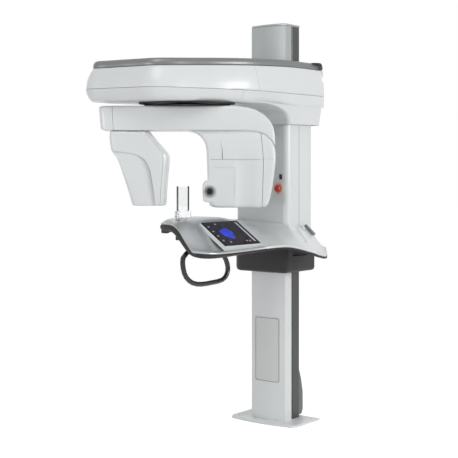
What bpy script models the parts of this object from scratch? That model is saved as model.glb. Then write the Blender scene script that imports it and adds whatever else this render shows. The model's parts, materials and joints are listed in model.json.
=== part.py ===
"""Panoramic x-ray machine: a floor column, a lifting carriage with its overhead unit and console,
and a rotating arm with a tube head and a sensor head. Metres, +Z up, the floor at z = 0 and the
origin under the middle of the floor plate. The console and overhead unit reach out towards -Y."""

from math import atan2, cos, hypot, pi, radians, sin

import bmesh
import bpy
from mathutils import Matrix, Vector

# Clearances
FIT = 0.0003
WALL = 0.004

# Floor plate and column
COLUMN_TOP = 2.300
PLATE_WIDTH = 0.460
PLATE_DEPTH = 0.270
PLATE_THICK = 0.012
PLATE_BOW = 0.022
COLUMN_WIDTH = 0.240
COLUMN_FRONT = -0.060
COLUMN_BOW = 0.015
COVER_REAR = 0.004
FRAME_FRONT = 0.012
FRAME_REAR = 0.090
FRAME_WALL = 0.006
COVER_SPLIT = 1.330
RAIL_BOTTOM = 0.900
RAIL_TOP = 2.060
RAIL_Y = 0.050
RAIL_WIDTH = 0.020
RAIL_DEPTH = 0.012
SCREW_Y = -0.028

# Carriage
CARRIAGE_LEFT = -0.180
CARRIAGE_RIGHT = 0.186
CARRIAGE_FRONT = -0.130
CARRIAGE_REAR = 0.115
CARRIAGE_SEAM = -0.016
CARRIAGE_BOTTOM = 1.050
COLLAR_BOTTOM = 1.716
RUNNER_LOW = 1.310
RUNNER_HIGH = 1.820
ROD_TOP = 1.690
SLOT_GAP = 0.0008

# Overhead unit
UNDERSIDE = 1.821
BELT = 1.887
SHELL_TOP = 1.995
LID_HEIGHT = 0.042
LID_CENTRE = (-0.110, -0.420)
CROSS_RAIL = 0.017
FLOOR_WALL = 0.005
COLUMN_OPENING_FRONT = -0.090
COLUMN_OPENING_REAR = 0.105

# Rotating arm
AXIS_X = -0.105
AXIS_Y = -0.667
ARM_ANGLE = radians(38.0)
ARM_TOP = 1.800
ARM_BOTTOM = 1.666
ARM_HALF_WIDTH = 0.085
ARM_LEFT = -0.471
ARM_RIGHT = 0.472
CAP_SEAM = -0.392
HEAD_TOP = 1.656

# Console
DECK_WALL = 0.003
DECK_LIP = 0.016
UNDERBODY_DROP = 0.020
UNDERBODY_WALL = 0.010
SCREEN_LENGTH = 0.315
SCREEN_WIDTH = 0.205
SCREEN_THICK = 0.014
SCREEN_CENTRE = (0.108, -0.555, 1.112)
SCREEN_TILT = radians(35.0)
HANDLE_RADIUS = 0.0135
SOCKET_PLAY = 0.0010
HANDLE_X = 0.060
CHIN_X = -0.106
CHIN_Y = -0.699


def clear_scene():
    for obj in list(bpy.data.objects):
        bpy.data.objects.remove(obj, do_unlink=True)


def make_collection(name):
    collection = bpy.data.collections.new(name)
    bpy.context.scene.collection.children.link(collection)
    return collection


clear_scene()
PARTS = make_collection("panoramic_xray_machine")
CUTTERS = make_collection("cutters")


def make_material(name, colour, roughness=0.5, metallic=0.0):
    material = bpy.data.materials.new(name)
    material.use_nodes = True
    shader = material.node_tree.nodes["Principled BSDF"]
    shader.inputs["Base Color"].default_value = (*colour, 1.0)
    shader.inputs["Roughness"].default_value = roughness
    shader.inputs["Metallic"].default_value = metallic
    material.diffuse_color = (*colour, 1.0)
    return material


WHITE = make_material("white_plastic", (0.78, 0.80, 0.80), 0.35)
GREY_TRIM = make_material("grey_trim", (0.25, 0.26, 0.26), 0.35)
SILVER = make_material("silver_paint", (0.52, 0.55, 0.55), 0.35, 0.4)
ALUMINIUM = make_material("aluminium", (0.56, 0.58, 0.58), 0.35, 1.0)
STEEL = make_material("steel", (0.45, 0.46, 0.47), 0.3, 1.0)
DARK = make_material("dark_plastic", (0.025, 0.024, 0.023), 0.4)
DARK_METAL = make_material("dark_metal", (0.09, 0.09, 0.09), 0.45, 0.6)
BLACK = make_material("black_gloss", (0.01, 0.01, 0.01), 0.15)
RED = make_material("red_button", (0.55, 0.04, 0.02), 0.35)
CLEAR = make_material("clear_acrylic", (0.85, 0.87, 0.88), 0.08)
GLASS = make_material("dark_glass", (0.01, 0.012, 0.015), 0.05)
GREEN_BOARD = make_material("circuit_board", (0.02, 0.15, 0.06), 0.5)
RUBBER = make_material("black_rubber", (0.02, 0.02, 0.02), 0.7)


# ---------------------------------------------------------------- helpers
def link(obj, material, parent=None, collection=PARTS):
    collection.objects.link(obj)
    if material is not None:
        obj.data.materials.append(material)
    if parent is not None:
        obj.parent = parent
        obj.matrix_parent_inverse = parent.matrix_world.inverted()
    return obj


def shade(mesh):
    mesh.shade_smooth()
    mesh.set_sharp_from_angle(angle=radians(35.0))


def finish(name, bm, material, parent=None, bevel=0.0, segments=2, solid=0.0):
    """Turns a bmesh into a named object, with an optional wall and rounded edges."""
    mesh = bpy.data.meshes.new(name)
    if not solid:
        bmesh.ops.recalc_face_normals(bm, faces=bm.faces)
    bm.to_mesh(mesh)
    bm.free()
    shade(mesh)
    obj = link(bpy.data.objects.new(name, mesh), material, parent)
    if solid:
        wall = obj.modifiers.new("wall", "SOLIDIFY")
        wall.thickness = solid
        wall.offset = -1.0
        wall.use_even_offset = True
    if bevel:
        edge = obj.modifiers.new("edges", "BEVEL")
        edge.width = bevel
        edge.segments = segments
        edge.limit_method = "ANGLE"
        edge.angle_limit = radians(40.0)
    return obj


def box(name, low, high, material, parent=None, bevel=0.0, segments=2, turn=None):
    """A block between two opposite corners, optionally turned about its own middle."""
    low, high = Vector(low), Vector(high)
    bm = bmesh.new()
    bmesh.ops.create_cube(bm, size=1.0, matrix=Matrix.Diagonal((*(high - low), 1.0)))
    place = Matrix.Translation((low + high) / 2)
    bmesh.ops.transform(bm, matrix=place @ turn if turn else place, verts=bm.verts)
    return finish(name, bm, material, parent, bevel, segments)


def rod(name, start, end, radius, material, parent=None, sides=24, bevel=0.0, top_radius=None):
    """A round bar or a cone between two points."""
    start, end = Vector(start), Vector(end)
    along = end - start
    bm = bmesh.new()
    bmesh.ops.create_cone(bm, cap_ends=True, segments=sides, radius1=radius,
                          radius2=radius if top_radius is None else top_radius, depth=along.length)
    turn = Vector((0, 0, 1)).rotation_difference(along).to_matrix().to_4x4()
    bmesh.ops.transform(bm, matrix=Matrix.Translation((start + end) / 2) @ turn, verts=bm.verts)
    return finish(name, bm, material, parent, bevel)


def turned(name, profile, centre, material, parent=None, sides=40, axis=(0, 0, 1)):
    """A profile of (radius, height) points, closed, spun about an axis through centre."""
    bm = bmesh.new()
    verts = [bm.verts.new((radius, 0.0, height)) for radius, height in profile]
    edges = [bm.edges.new(pair) for pair in zip(verts, verts[1:] + verts[:1])]
    bmesh.ops.spin(bm, geom=verts + edges, cent=(0, 0, 0), axis=(0, 0, 1), angle=2 * pi,
                   steps=sides, use_merge=True)
    bmesh.ops.remove_doubles(bm, verts=bm.verts, dist=1e-6)
    turn = Vector((0, 0, 1)).rotation_difference(Vector(axis)).to_matrix().to_4x4()
    bmesh.ops.transform(bm, matrix=Matrix.Translation(centre) @ turn, verts=bm.verts)
    return finish(name, bm, material, parent)


def ring_faces(bm, first, second):
    count = len(first)
    for i in range(count):
        j = (i + 1) % count
        bm.faces.new((first[i], first[j], second[j], second[i]))


def loft(name, rings, material, parent=None, closed=(True, True), wall=0.0, bevel=0.0):
    """Joins closed rings of equal point counts; wall > 0 makes a shell open at the uncapped ends."""
    bm = bmesh.new()
    loops = [[bm.verts.new(point) for point in ring] for ring in rings]
    for lower, upper in zip(loops, loops[1:]):
        ring_faces(bm, lower, upper)
    caps = [bm.faces.new(list(reversed(loops[0]))), bm.faces.new(loops[-1])]
    bmesh.ops.recalc_face_normals(bm, faces=bm.faces)
    if bm.calc_volume(signed=True) < 0:
        bmesh.ops.reverse_faces(bm, faces=bm.faces)
    kept = [cap for cap, keep in zip(caps, closed) if keep]
    bmesh.ops.delete(bm, geom=[cap for cap in caps if cap not in kept], context="FACES_ONLY")
    bmesh.ops.triangulate(bm, faces=kept)
    return finish(name, bm, material, parent, bevel=bevel, solid=wall)


def walled(name, outer, inner, material, parent=None, closed=(False, False)):
    """A shell from its outer and inner rings: a sleeve, or a cup where one end is closed."""
    if not any(closed):
        bm = bmesh.new()
        loops = [[bm.verts.new(point) for point in ring] for ring in outer + inner[::-1]]
        for lower, upper in zip(loops, loops[1:] + loops[:1]):
            ring_faces(bm, lower, upper)
        return finish(name, bm, material, parent)
    rings = outer + inner[::-1] if closed[0] else outer[::-1] + inner
    return loft(name, rings, material, parent)


def shrink(ring, wall, rise=0.0):
    """The ring moved inwards by a wall's thickness and lifted by rise."""
    flat = inset([(x, y) for x, y, _ in ring], wall)
    return [(x, y, z + rise) for (x, y), (_, _, z) in zip(flat, ring)]


def sheet(name, rows, material, parent=None, wall=0.003):
    """A shell made from an open grid of points."""
    bm = bmesh.new()
    grid = [[bm.verts.new(point) for point in row] for row in rows]
    for near, far in zip(grid, grid[1:]):
        for a, b, c, d in zip(near, near[1:], far[1:], far):
            bm.faces.new((a, b, c, d))
    mesh = bpy.data.meshes.new(name)
    bm.to_mesh(mesh)
    bm.free()
    shade(mesh)
    obj = link(bpy.data.objects.new(name, mesh), material, parent)
    skin = obj.modifiers.new("wall", "SOLIDIFY")
    skin.thickness = wall
    skin.offset = -1.0
    skin.use_even_offset = True
    return obj


def combine(target, cutter, operation, solver="EXACT"):
    """Cuts a helper shape out of the target, or joins it on."""
    if cutter.name in PARTS.objects:
        PARTS.objects.unlink(cutter)
        CUTTERS.objects.link(cutter)
    cutter.hide_render = True
    cutter.display_type = "WIRE"
    tool = target.modifiers.new(operation.lower(), "BOOLEAN")
    tool.operation = operation
    tool.solver = solver
    tool.object = cutter


def cut(target, cutter, solver="EXACT"):
    combine(target, cutter, "DIFFERENCE", solver)


def fuse(target, other, solver="EXACT"):
    combine(target, other, "UNION", solver)


def empty(name, location, parent=None):
    obj = bpy.data.objects.new(name, None)
    PARTS.objects.link(obj)
    obj.location = location
    bpy.context.view_layer.update()
    if parent is not None:
        obj.parent = parent
        obj.matrix_parent_inverse = parent.matrix_world.inverted()
        bpy.context.view_layer.update()
    return obj


def rounded(x0, x1, y0, y1, radius, steps=4):
    """A rectangle with round corners, anticlockwise from the right side."""
    corners = ((x1, y0, -90), (x1, y1, 0), (x0, y1, 90), (x0, y0, 180))
    points = []
    for x, y, first in corners:
        cx = x - radius if x == x1 else x + radius
        cy = y - radius if y == y1 else y + radius
        for i in range(steps + 1):
            angle = radians(first + 90.0 * i / steps)
            points.append((cx + radius * cos(angle), cy + radius * sin(angle)))
    return points


def spline(points, steps):
    """A smooth closed curve through the points (Catmull-Rom)."""
    count = len(points)
    result = []
    for i in range(count):
        p0, p1, p2, p3 = (Vector(points[(i + k - 1) % count]) for k in range(4))
        for j in range(steps):
            t = j / steps
            result.append(0.5 * (2 * p1 + (p2 - p0) * t + (2 * p0 - 5 * p1 + 4 * p2 - p3) * t ** 2
                                 + (3 * p1 - p0 - 3 * p2 + p3) * t ** 3))
    return [(p.x, p.y) for p in result]


def inset(outline, distance):
    """Moves an anticlockwise outline inwards; distance is a number or a function of the point."""
    count = len(outline)
    result = []
    for i, (x, y) in enumerate(outline):
        (x0, y0), (x1, y1) = outline[i - 1], outline[(i + 1) % count]
        length = hypot(x1 - x0, y1 - y0) or 1.0
        step = distance(x, y) if callable(distance) else distance
        result.append((x - step * (y1 - y0) / length, y + step * (x1 - x0) / length))
    return result


def level(outline, height):
    """Lifts a flat outline; height is a number or a function of the point."""
    return [(x, y, height(x, y) if callable(height) else height) for x, y in outline]


def arm_point(s, v, z):
    """A point given along the arm, across it and by height."""
    return (AXIS_X + s * cos(ARM_ANGLE) - v * sin(ARM_ANGLE),
            AXIS_Y + s * sin(ARM_ANGLE) + v * cos(ARM_ANGLE), z)


def arm_box(name, low, high, material, parent, bevel=0.0):
    """A block given in the arm's own directions."""
    centre = [(a + b) / 2 for a, b in zip(low, high)]
    half = [(b - a) / 2 for a, b in zip(low, high)]
    middle = Vector(arm_point(*centre))
    return box(name, middle - Vector(half), middle + Vector(half), material, parent, bevel,
               turn=Matrix.Rotation(ARM_ANGLE, 4, "Z"))


# ---------------------------------------------------------------- floor plate and column
def bowed_front(half, front, bow, count=8):
    """Points from left to right along a front edge that bulges by bow."""
    steps = [2 * i / count - 1 for i in range(count + 1)]
    return [(half * t, front - bow * (1 - t * t)) for t in steps]


def build_floor_plate():
    half, front, corner = PLATE_WIDTH / 2, -PLATE_DEPTH / 2, 0.035
    rear = [(half, -front), (-half, -front)]
    sides = [(-half, front + corner)], [(half, front + corner)]
    outline = sides[0] + bowed_front(half - corner * 0.6, front, PLATE_BOW) + sides[1] + rear
    rings = [level(outline, 0.0), level(outline, PLATE_THICK)]
    plate = loft("floor_plate", rings, SILVER, bevel=0.002)
    for index, (x, y) in enumerate(((-0.19, -0.09), (0.19, -0.09), (-0.19, 0.10), (0.19, 0.10)), 1):
        hole = rod(f"anchor_hole_{index}", (x, y, -0.01), (x, y, 0.03), 0.0070, None)
        cut(plate, hole)


def column_path(shrink=0.0):
    half = COLUMN_WIDTH / 2 - shrink
    front = bowed_front(half, COLUMN_FRONT, COLUMN_BOW)
    return [(-half, COVER_REAR)] + front + [(half, COVER_REAR)]


def build_column():
    foot, head = PLATE_THICK + FIT, COLUMN_TOP - 0.012 - FIT
    path = column_path()
    sheet("column_front_cover", [level(path, foot), level(path, COVER_SPLIT - FIT)], SILVER)
    sheet("column_upper_profile", [level(path, COVER_SPLIT + FIT), level(path, head)], ALUMINIUM)
    half = COLUMN_WIDTH / 2 - 0.002
    section = rounded(-half, half, FRAME_FRONT, FRAME_REAR, 0.008, 2)
    loft("column_frame", [level(section, foot), level(section, head)], DARK_METAL,
         closed=(False, False), wall=FRAME_WALL)
    cap = column_path()[1:-1] + [(COLUMN_WIDTH / 2, FRAME_REAR), (-COLUMN_WIDTH / 2, FRAME_REAR)]
    loft("column_top_cap", [level(cap, head + FIT), level(cap, COLUMN_TOP)], DARK, bevel=0.003)
    for side, sign in (("left", -1), ("right", 1)):
        inner, outer = sign * (half + FIT), sign * (half + FIT + RAIL_DEPTH)
        box(f"lift_rail_{side}", (min(inner, outer), RAIL_Y - RAIL_WIDTH / 2, RAIL_BOTTOM),
            (max(inner, outer), RAIL_Y + RAIL_WIDTH / 2, RAIL_TOP), STEEL, bevel=0.0015, segments=1)
    plate_half = 0.0875
    steps = [2 * i / 8 - 1 for i in range(9)]
    reach = COLUMN_WIDTH / 2
    front = [(plate_half * t, COLUMN_FRONT - COLUMN_BOW * (1 - (plate_half * t / reach) ** 2)
              - FIT - 0.0017) for t in steps]
    sheet("name_plate", [level(front, 0.229), level(front, 0.603)], ALUMINIUM, wall=0.0014)


def build_lift_drive(lift):
    foot = PLATE_THICK + FIT
    bore, body = 0.0135, 0.0210
    profile = [(0, foot), (0.024, foot), (0.024, 0.13), (body, 0.135), (body, 1.150), (bore, 1.150),
               (bore, 0.300), (0, 0.300)]
    turned("lift_actuator_body", profile, (0, SCREW_Y, 0), ALUMINIUM, sides=20)
    rod("lift_actuator_rod", (0, SCREW_Y, 0.80), (0, SCREW_Y, ROD_TOP), 0.0125, STEEL, lift, sides=20)


def build_rear_cover():
    depths = ((0.018, 0.148), (0.045, 0.162), (0.150, 0.161), (0.230, 0.143), (0.300, 0.117), (0.345, 0.104))
    rings = [level(rounded(-0.095, 0.095, FRAME_REAR + FIT, depth, 0.006, 2), height)
             for height, depth in depths]
    inner = [shrink(ring, 0.003) for ring in rings[:-1]] + [shrink(rings[-1], 0.003, -0.003)]
    walled("cable_cover", rings, inner, GREY_TRIM, closed=(False, True))


# ---------------------------------------------------------------- carriage
def carriage_path(y_end):
    """The front wall of the carriage cover, from its left side round to its right side."""
    left, right, front = CARRIAGE_LEFT, CARRIAGE_RIGHT, CARRIAGE_FRONT
    small, large, steps = 0.018, 0.032, 5
    path = [(left, y_end)]
    for i in range(steps + 1):
        angle = radians(180 + 90 * i / steps)
        path.append((left + small + small * cos(angle), front + small + small * sin(angle)))
    for i in range(steps + 1):
        angle = radians(270 + 90 * i / steps)
        path.append((right - large + large * cos(angle), front + large + large * sin(angle)))
    path.append((right, y_end))
    return path


def build_carriage(lift):
    top, bottom = UNDERSIDE - FIT, CARRIAGE_BOTTOM + FIT
    path = carriage_path(CARRIAGE_SEAM)
    cover = sheet("carriage_front_cover", [level(path, bottom), level(path, top)], WHITE, lift, WALL)
    notch = box("bracket_notch", (-0.097, -0.14, 0.9), (0.017, -0.12, 1.118), None)
    cut(cover, notch)
    for side, x, sign in (("left", CARRIAGE_LEFT, -1), ("right", CARRIAGE_RIGHT, 1)):
        side_path = [(x, CARRIAGE_SEAM + 2 * FIT), (x, CARRIAGE_REAR - 0.008),
                     (x - sign * 0.008, CARRIAGE_REAR), (x - sign * 0.030, CARRIAGE_REAR)]
        if sign < 0:
            side_path.reverse()
        sheet(f"carriage_rear_cover_{side}", [level(side_path, bottom), level(side_path, top)],
              WHITE, lift, WALL)
        block_near = sign * (COLUMN_WIDTH / 2 - 0.002 + RAIL_DEPTH + 2 * FIT)
        block_far = sign * (0.150 - FIT)
        box(f"lift_runner_{side}", (min(block_near, block_far), RAIL_Y - 0.020, RUNNER_LOW),
            (max(block_near, block_far), RAIL_Y + 0.020, RUNNER_HIGH), DARK_METAL, lift, bevel=0.002)
    return cover


def build_carriage_frame(lift):
    """The welded steel frame: a bridge through the column's side slots, two side plates, a crossbar
    in front of the column and the bracket that carries the console."""
    frame = box("carriage_frame", (-0.153, COVER_REAR + SLOT_GAP, 1.660),
                (0.153, FRAME_FRONT - SLOT_GAP, 1.800), STEEL, lift)
    fuse(frame, box("rod_bracket", (-0.022, -0.048, ROD_TOP + FIT), (0.022, 0.008, ROD_TOP + 0.045), None))
    for side, sign in (("left", -1), ("right", 1)):
        near, far = sorted((sign * 0.150, sign * 0.156))
        plate = box(f"side_plate_{side}", (near, -0.118, CARRIAGE_BOTTOM + FIT), (far, 0.090, 1.940), None)
        fuse(frame, plate)
    fuse(frame, box("lower_crossbar", (-0.153, -0.116, 1.060), (0.153, -0.086, 1.100), None))
    fuse(frame, box("bracket_neck", (-0.090, -0.260, 1.064), (0.008, -0.100, 1.094), None))
    drop = UNDERBODY_DROP + 1.3 * UNDERBODY_WALL + FIT
    rings = []
    for station in (2.0, 3.0, 4.0, 4.93):
        left, right = console_point(station, 0.10, drop + 0.004), console_point(station, 0.38, drop + 0.006)
        rings.append([(left.x, left.y, 1.068), (right.x, right.y, 1.068), right, left])
    fuse(frame, loft("console_bracket", rings, None))


def build_collar(lift):
    fronts = ((COLLAR_BOTTOM, -0.138), (1.750, -0.140), (1.778, -0.144), (1.796, -0.153),
              (1.808, -0.175), (UNDERSIDE - FIT, -0.230))
    rings = []
    for height, front in fronts:
        spread = 0.010 * (height - COLLAR_BOTTOM) / (UNDERSIDE - COLLAR_BOTTOM)
        rings.append(level(rounded(-0.216 - spread, 0.208 + spread, front, 0.180 + spread, 0.030),
                           height))
    walled("column_collar", rings, [shrink(ring, WALL) for ring in rings], WHITE, lift)


def build_controls(lift, cover):
    x, front = 0.126, CARRIAGE_FRONT
    stop = empty("stop_axis", (x, front, 1.351), lift)
    turned("emergency_stop", [(0, -0.014), (0.0110, -0.014), (0.0110, 0.0120), (0.0190, 0.0135),
                              (0.0200, 0.0180), (0.0180, 0.0230), (0.0120, 0.0265), (0, 0.0275)],
           (x, front, 1.351), RED, stop, sides=32, axis=(0, -1, 0))
    cut(cover, rod("stop_bore", (x, front - 0.02, 1.351), (x, front + 0.02, 1.351), 0.0120, None))
    x, height = 0.138, 1.417
    rocker = empty("switch_axis", (x, front - 0.001, height), lift)
    hole = box("switch_hole", (x - 0.0064, front - 0.02, height - 0.0120),
               (x + 0.0064, front + 0.02, height + 0.0120), None)
    cut(cover, hole)
    box("power_switch", (x - 0.0060, front - 0.0055, height - 0.0105),
        (x + 0.0060, front + 0.0060, height + 0.0105), BLACK, rocker, bevel=0.001)


# ---------------------------------------------------------------- overhead unit
BELT_POINTS = (
    (0.226, 0.186), (0.225, 0.060), (0.210, -0.120), (0.207, -0.300), (0.192, -0.480),
    (0.120, -0.652), (0.036, -0.805), (-0.012, -0.925), (-0.066, -0.992), (-0.200, -1.020),
    (-0.350, -1.052), (-0.452, -1.074), (-0.520, -1.010), (-0.530, -0.880), (-0.470, -0.660),
    (-0.370, -0.430), (-0.275, -0.230), (-0.234, -0.060), (-0.232, 0.100), (-0.226, 0.186),
)


def shell_top(x, y):
    return SHELL_TOP + 0.042 * min(1.0, max(0.0, (y + 1.08) / 0.95))


def top_inset(x, y):
    """The upper shell leans in more at the free end than at the column."""
    return 0.016 + 0.020 * min(1.0, max(0.0, -y))


def overhead_outline():
    """The widest outline of the overhead unit, anticlockwise."""
    outline = spline(BELT_POINTS, 2)
    area = sum(x0 * y1 - x1 * y0 for (x0, y0), (x1, y1) in zip(outline, outline[1:] + outline[:1]))
    return outline if area > 0 else outline[::-1]


def build_overhead(lift):
    outline = overhead_outline()
    column_hole = box("column_hole", (-0.160, COLUMN_OPENING_FRONT - 0.035, 1.7),
                      (0.160, COLUMN_OPENING_REAR, 2.4), None)
    hub_hole = rod("hub_hole", (AXIS_X, AXIS_Y, 1.7), (AXIS_X, AXIS_Y, 1.86), 0.120, None, sides=40)

    lower = ((UNDERSIDE, 0.040), (1.826, 0.030), (1.845, 0.015), (BELT - FIT, 0.0))

    def tuck(step):
        return lambda x, y: step * min(1.0, max(0.12, (-0.10 - y) / 0.30))

    rings = [level(inset(outline, tuck(step)), height) for height, step in lower]
    inner = [shrink(rings[0], FLOOR_WALL, FLOOR_WALL), shrink(rings[2], WALL), shrink(rings[3], WALL)]
    shell = walled("overhead_lower_shell", rings, inner, WHITE, lift, closed=(True, False))
    cut(shell, hub_hole, "MANIFOLD")
    cut(shell, column_hole, "MANIFOLD")

    shares = ((0.0, 0.0), (0.35, 0.12), (0.75, 0.55), (1.0, 1.0))
    rings = []
    for up, lean in shares:
        ring = inset(outline, lambda x, y: lean * top_inset(x, y))
        rings.append([(x, y, BELT + FIT + up * (shell_top(x, y) - BELT - FIT)) for x, y in ring])
    walled("overhead_upper_shell", rings, [shrink(ring, WALL) for ring in rings], WHITE, lift)

    def lid_ring(rise, extra, share=1.0):
        ring = inset(outline, lambda x, y: top_inset(x, y) + extra)
        ring = [(LID_CENTRE[0] + (x - LID_CENTRE[0]) * share, LID_CENTRE[1] + (y - LID_CENTRE[1]) * share)
                for x, y in ring]
        if share < 0.1:
            return level(ring, shell_top(*LID_CENTRE) + rise)
        return [(x, y, shell_top(x, y) + rise) for x, y in ring]

    outside = ((FIT, 0.004), (LID_HEIGHT * 0.60, 0.008), (LID_HEIGHT * 0.90, 0.016), (LID_HEIGHT, 0.028))
    inside = ((LID_HEIGHT - WALL, 0.030), (LID_HEIGHT * 0.60, 0.008 + WALL), (FIT, 0.004 + WALL))
    rings = [lid_ring(LID_HEIGHT - WALL, 0.034, share) for share in (0.04, 0.35, 0.70)]
    rings += [lid_ring(*step) for step in inside + outside]
    rings += [lid_ring(LID_HEIGHT, 0.032, share) for share in (0.70, 0.35, 0.04)]
    lid = loft("overhead_lid", rings, GREY_TRIM, lift)
    rail_reach = COLUMN_WIDTH / 2 - 0.002 + RAIL_DEPTH + 0.004
    lid_hole = box("lid_hole", (-rail_reach, -0.086, 1.7), (rail_reach, 0.100, 2.4), None)
    cut(lid, lid_hole, "MANIFOLD")

    floor = UNDERSIDE + FLOOR_WALL + FIT
    plate = [level(inset(outline, 0.062), floor), level(inset(outline, 0.062), floor + 0.008)]
    frame = loft("overhead_frame", plate, STEEL, lift)
    cut(frame, box("frame_hole", (-0.1563, COLUMN_OPENING_FRONT - 0.035, 1.7),
                   (0.1563, COLUMN_OPENING_REAR, 2.4), None), "MANIFOLD")
    cut(frame, hub_hole, "MANIFOLD")
    for name, offset in (("front", -0.130), ("rear", 0.130)):
        fuse(frame, box(f"cross_rail_{name}", (-0.360, AXIS_Y + offset - 0.008, floor + 0.004),
                        (-0.012, AXIS_Y + offset + 0.008, floor + 0.008 + FIT + CROSS_RAIL), None), "MANIFOLD")
    return floor + 0.008 + FIT


# ---------------------------------------------------------------- arm stage
def build_stage(lift, base):
    """Two crossed slides, the slewing bearing and the drive that turns the arm. Returns the arm's axis."""
    plate_thick = 0.008
    slide_x = empty("stage_x_axis", (AXIS_X, AXIS_Y, base), lift)
    first = base + CROSS_RAIL + FIT
    plate = box("cross_slide", (-0.330, AXIS_Y - 0.145, first),
                (-0.022, AXIS_Y + 0.145, first + plate_thick), ALUMINIUM, slide_x)
    shaft_hole = box("shaft_hole", (AXIS_X - 0.064, AXIS_Y - 0.085, 1.83),
                     (AXIS_X + 0.064, AXIS_Y + 0.085, 1.91), None)
    cut(plate, shaft_hole)
    box("cross_motor", (-0.403, -0.700, base), (-0.366, -0.640, base + 0.040), DARK_METAL, lift, 0.003)
    level_two = first + plate_thick
    slide_y = empty("stage_y_axis", (AXIS_X, AXIS_Y, level_two), slide_x)
    for name, offset in (("left", -0.076), ("right", 0.074)):
        fuse(plate, box(f"depth_rail_{name}", (AXIS_X + offset - 0.006, AXIS_Y - 0.140, level_two - 0.004),
                        (AXIS_X + offset + 0.006, AXIS_Y + 0.140, level_two + 0.010), None))
    second = level_two + 0.010 + FIT
    plate = box("depth_slide", (-0.276, AXIS_Y - 0.105, second),
                (-0.022, AXIS_Y + 0.105, second + plate_thick), ALUMINIUM, slide_y)
    cut(plate, rod("bearing_bore", (AXIS_X, AXIS_Y, second - 0.002), (AXIS_X, AXIS_Y, second + 0.02),
                   0.062, None, sides=40))
    seat = second + plate_thick + FIT
    bearing_high = 0.018
    turned("slewing_bearing", [(0.0550, seat), (0.080, seat), (0.080, seat + bearing_high),
                               (0.0550, seat + bearing_high)], (AXIS_X, AXIS_Y, 0), STEEL, slide_y, sides=40)
    turn = empty("arm_axis", (AXIS_X, AXIS_Y, seat), slide_y)
    flange = seat + bearing_high + FIT
    inner = 0.040
    turned("arm_shaft", [(inner, ARM_TOP - WALL + FIT), (0.0547, ARM_TOP - WALL + FIT), (0.0547, flange),
                         (0.088, flange), (0.088, flange + 0.014), (inner, flange + 0.014)],
           (AXIS_X, AXIS_Y, 0), STEEL, turn, sides=40)
    motor_x = AXIS_X - 0.134
    pulley_axis = empty("pulley_axis", (motor_x, AXIS_Y, seat), slide_y)
    turned("turning_motor", [(0, seat), (0.030, seat), (0.030, seat + 0.015), (0.024, flange - FIT),
                             (0, flange - FIT)], (motor_x, AXIS_Y, 0), DARK_METAL, slide_y, sides=24)
    turned("motor_pulley", [(0, flange), (0.011, flange), (0.011, flange + 0.014), (0, flange + 0.014)],
           (motor_x, AXIS_Y, 0), ALUMINIUM, pulley_axis, sides=24)
    loop = belt_loop((AXIS_X, AXIS_Y), 0.088 + 0.0022, (motor_x, AXIS_Y), 0.011 + 0.0022)
    loft("drive_belt", [level(loop, flange + 0.003), level(loop, flange + 0.011)], RUBBER, slide_y,
         closed=(False, False), wall=0.0014)
    return turn


def belt_loop(big, big_radius, small, small_radius, steps=36):
    """An anticlockwise outline stretched round two circles; the small one lies towards -X."""
    lean = atan2(big_radius - small_radius, big[0] - small[0])
    points = []
    start, end = -(pi / 2 + lean), pi / 2 + lean
    for i in range(steps + 1):
        angle = start + (end - start) * i / steps
        points.append((big[0] + big_radius * cos(angle), big[1] + big_radius * sin(angle)))
    for i in range(steps // 2 + 1):
        angle = end + (2 * pi - (end - start)) * i / (steps // 2)
        points.append((small[0] + small_radius * cos(angle), small[1] + small_radius * sin(angle)))
    return points


# ---------------------------------------------------------------- rotating arm and its heads
def arm_ring(s, half, low, high, radius=0.016, bow=0.0):
    """A rounded section across the arm at s."""
    section = rounded(-half - bow, half, low, high, radius, 3)
    return [arm_point(s, v, z) for v, z in section]


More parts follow.
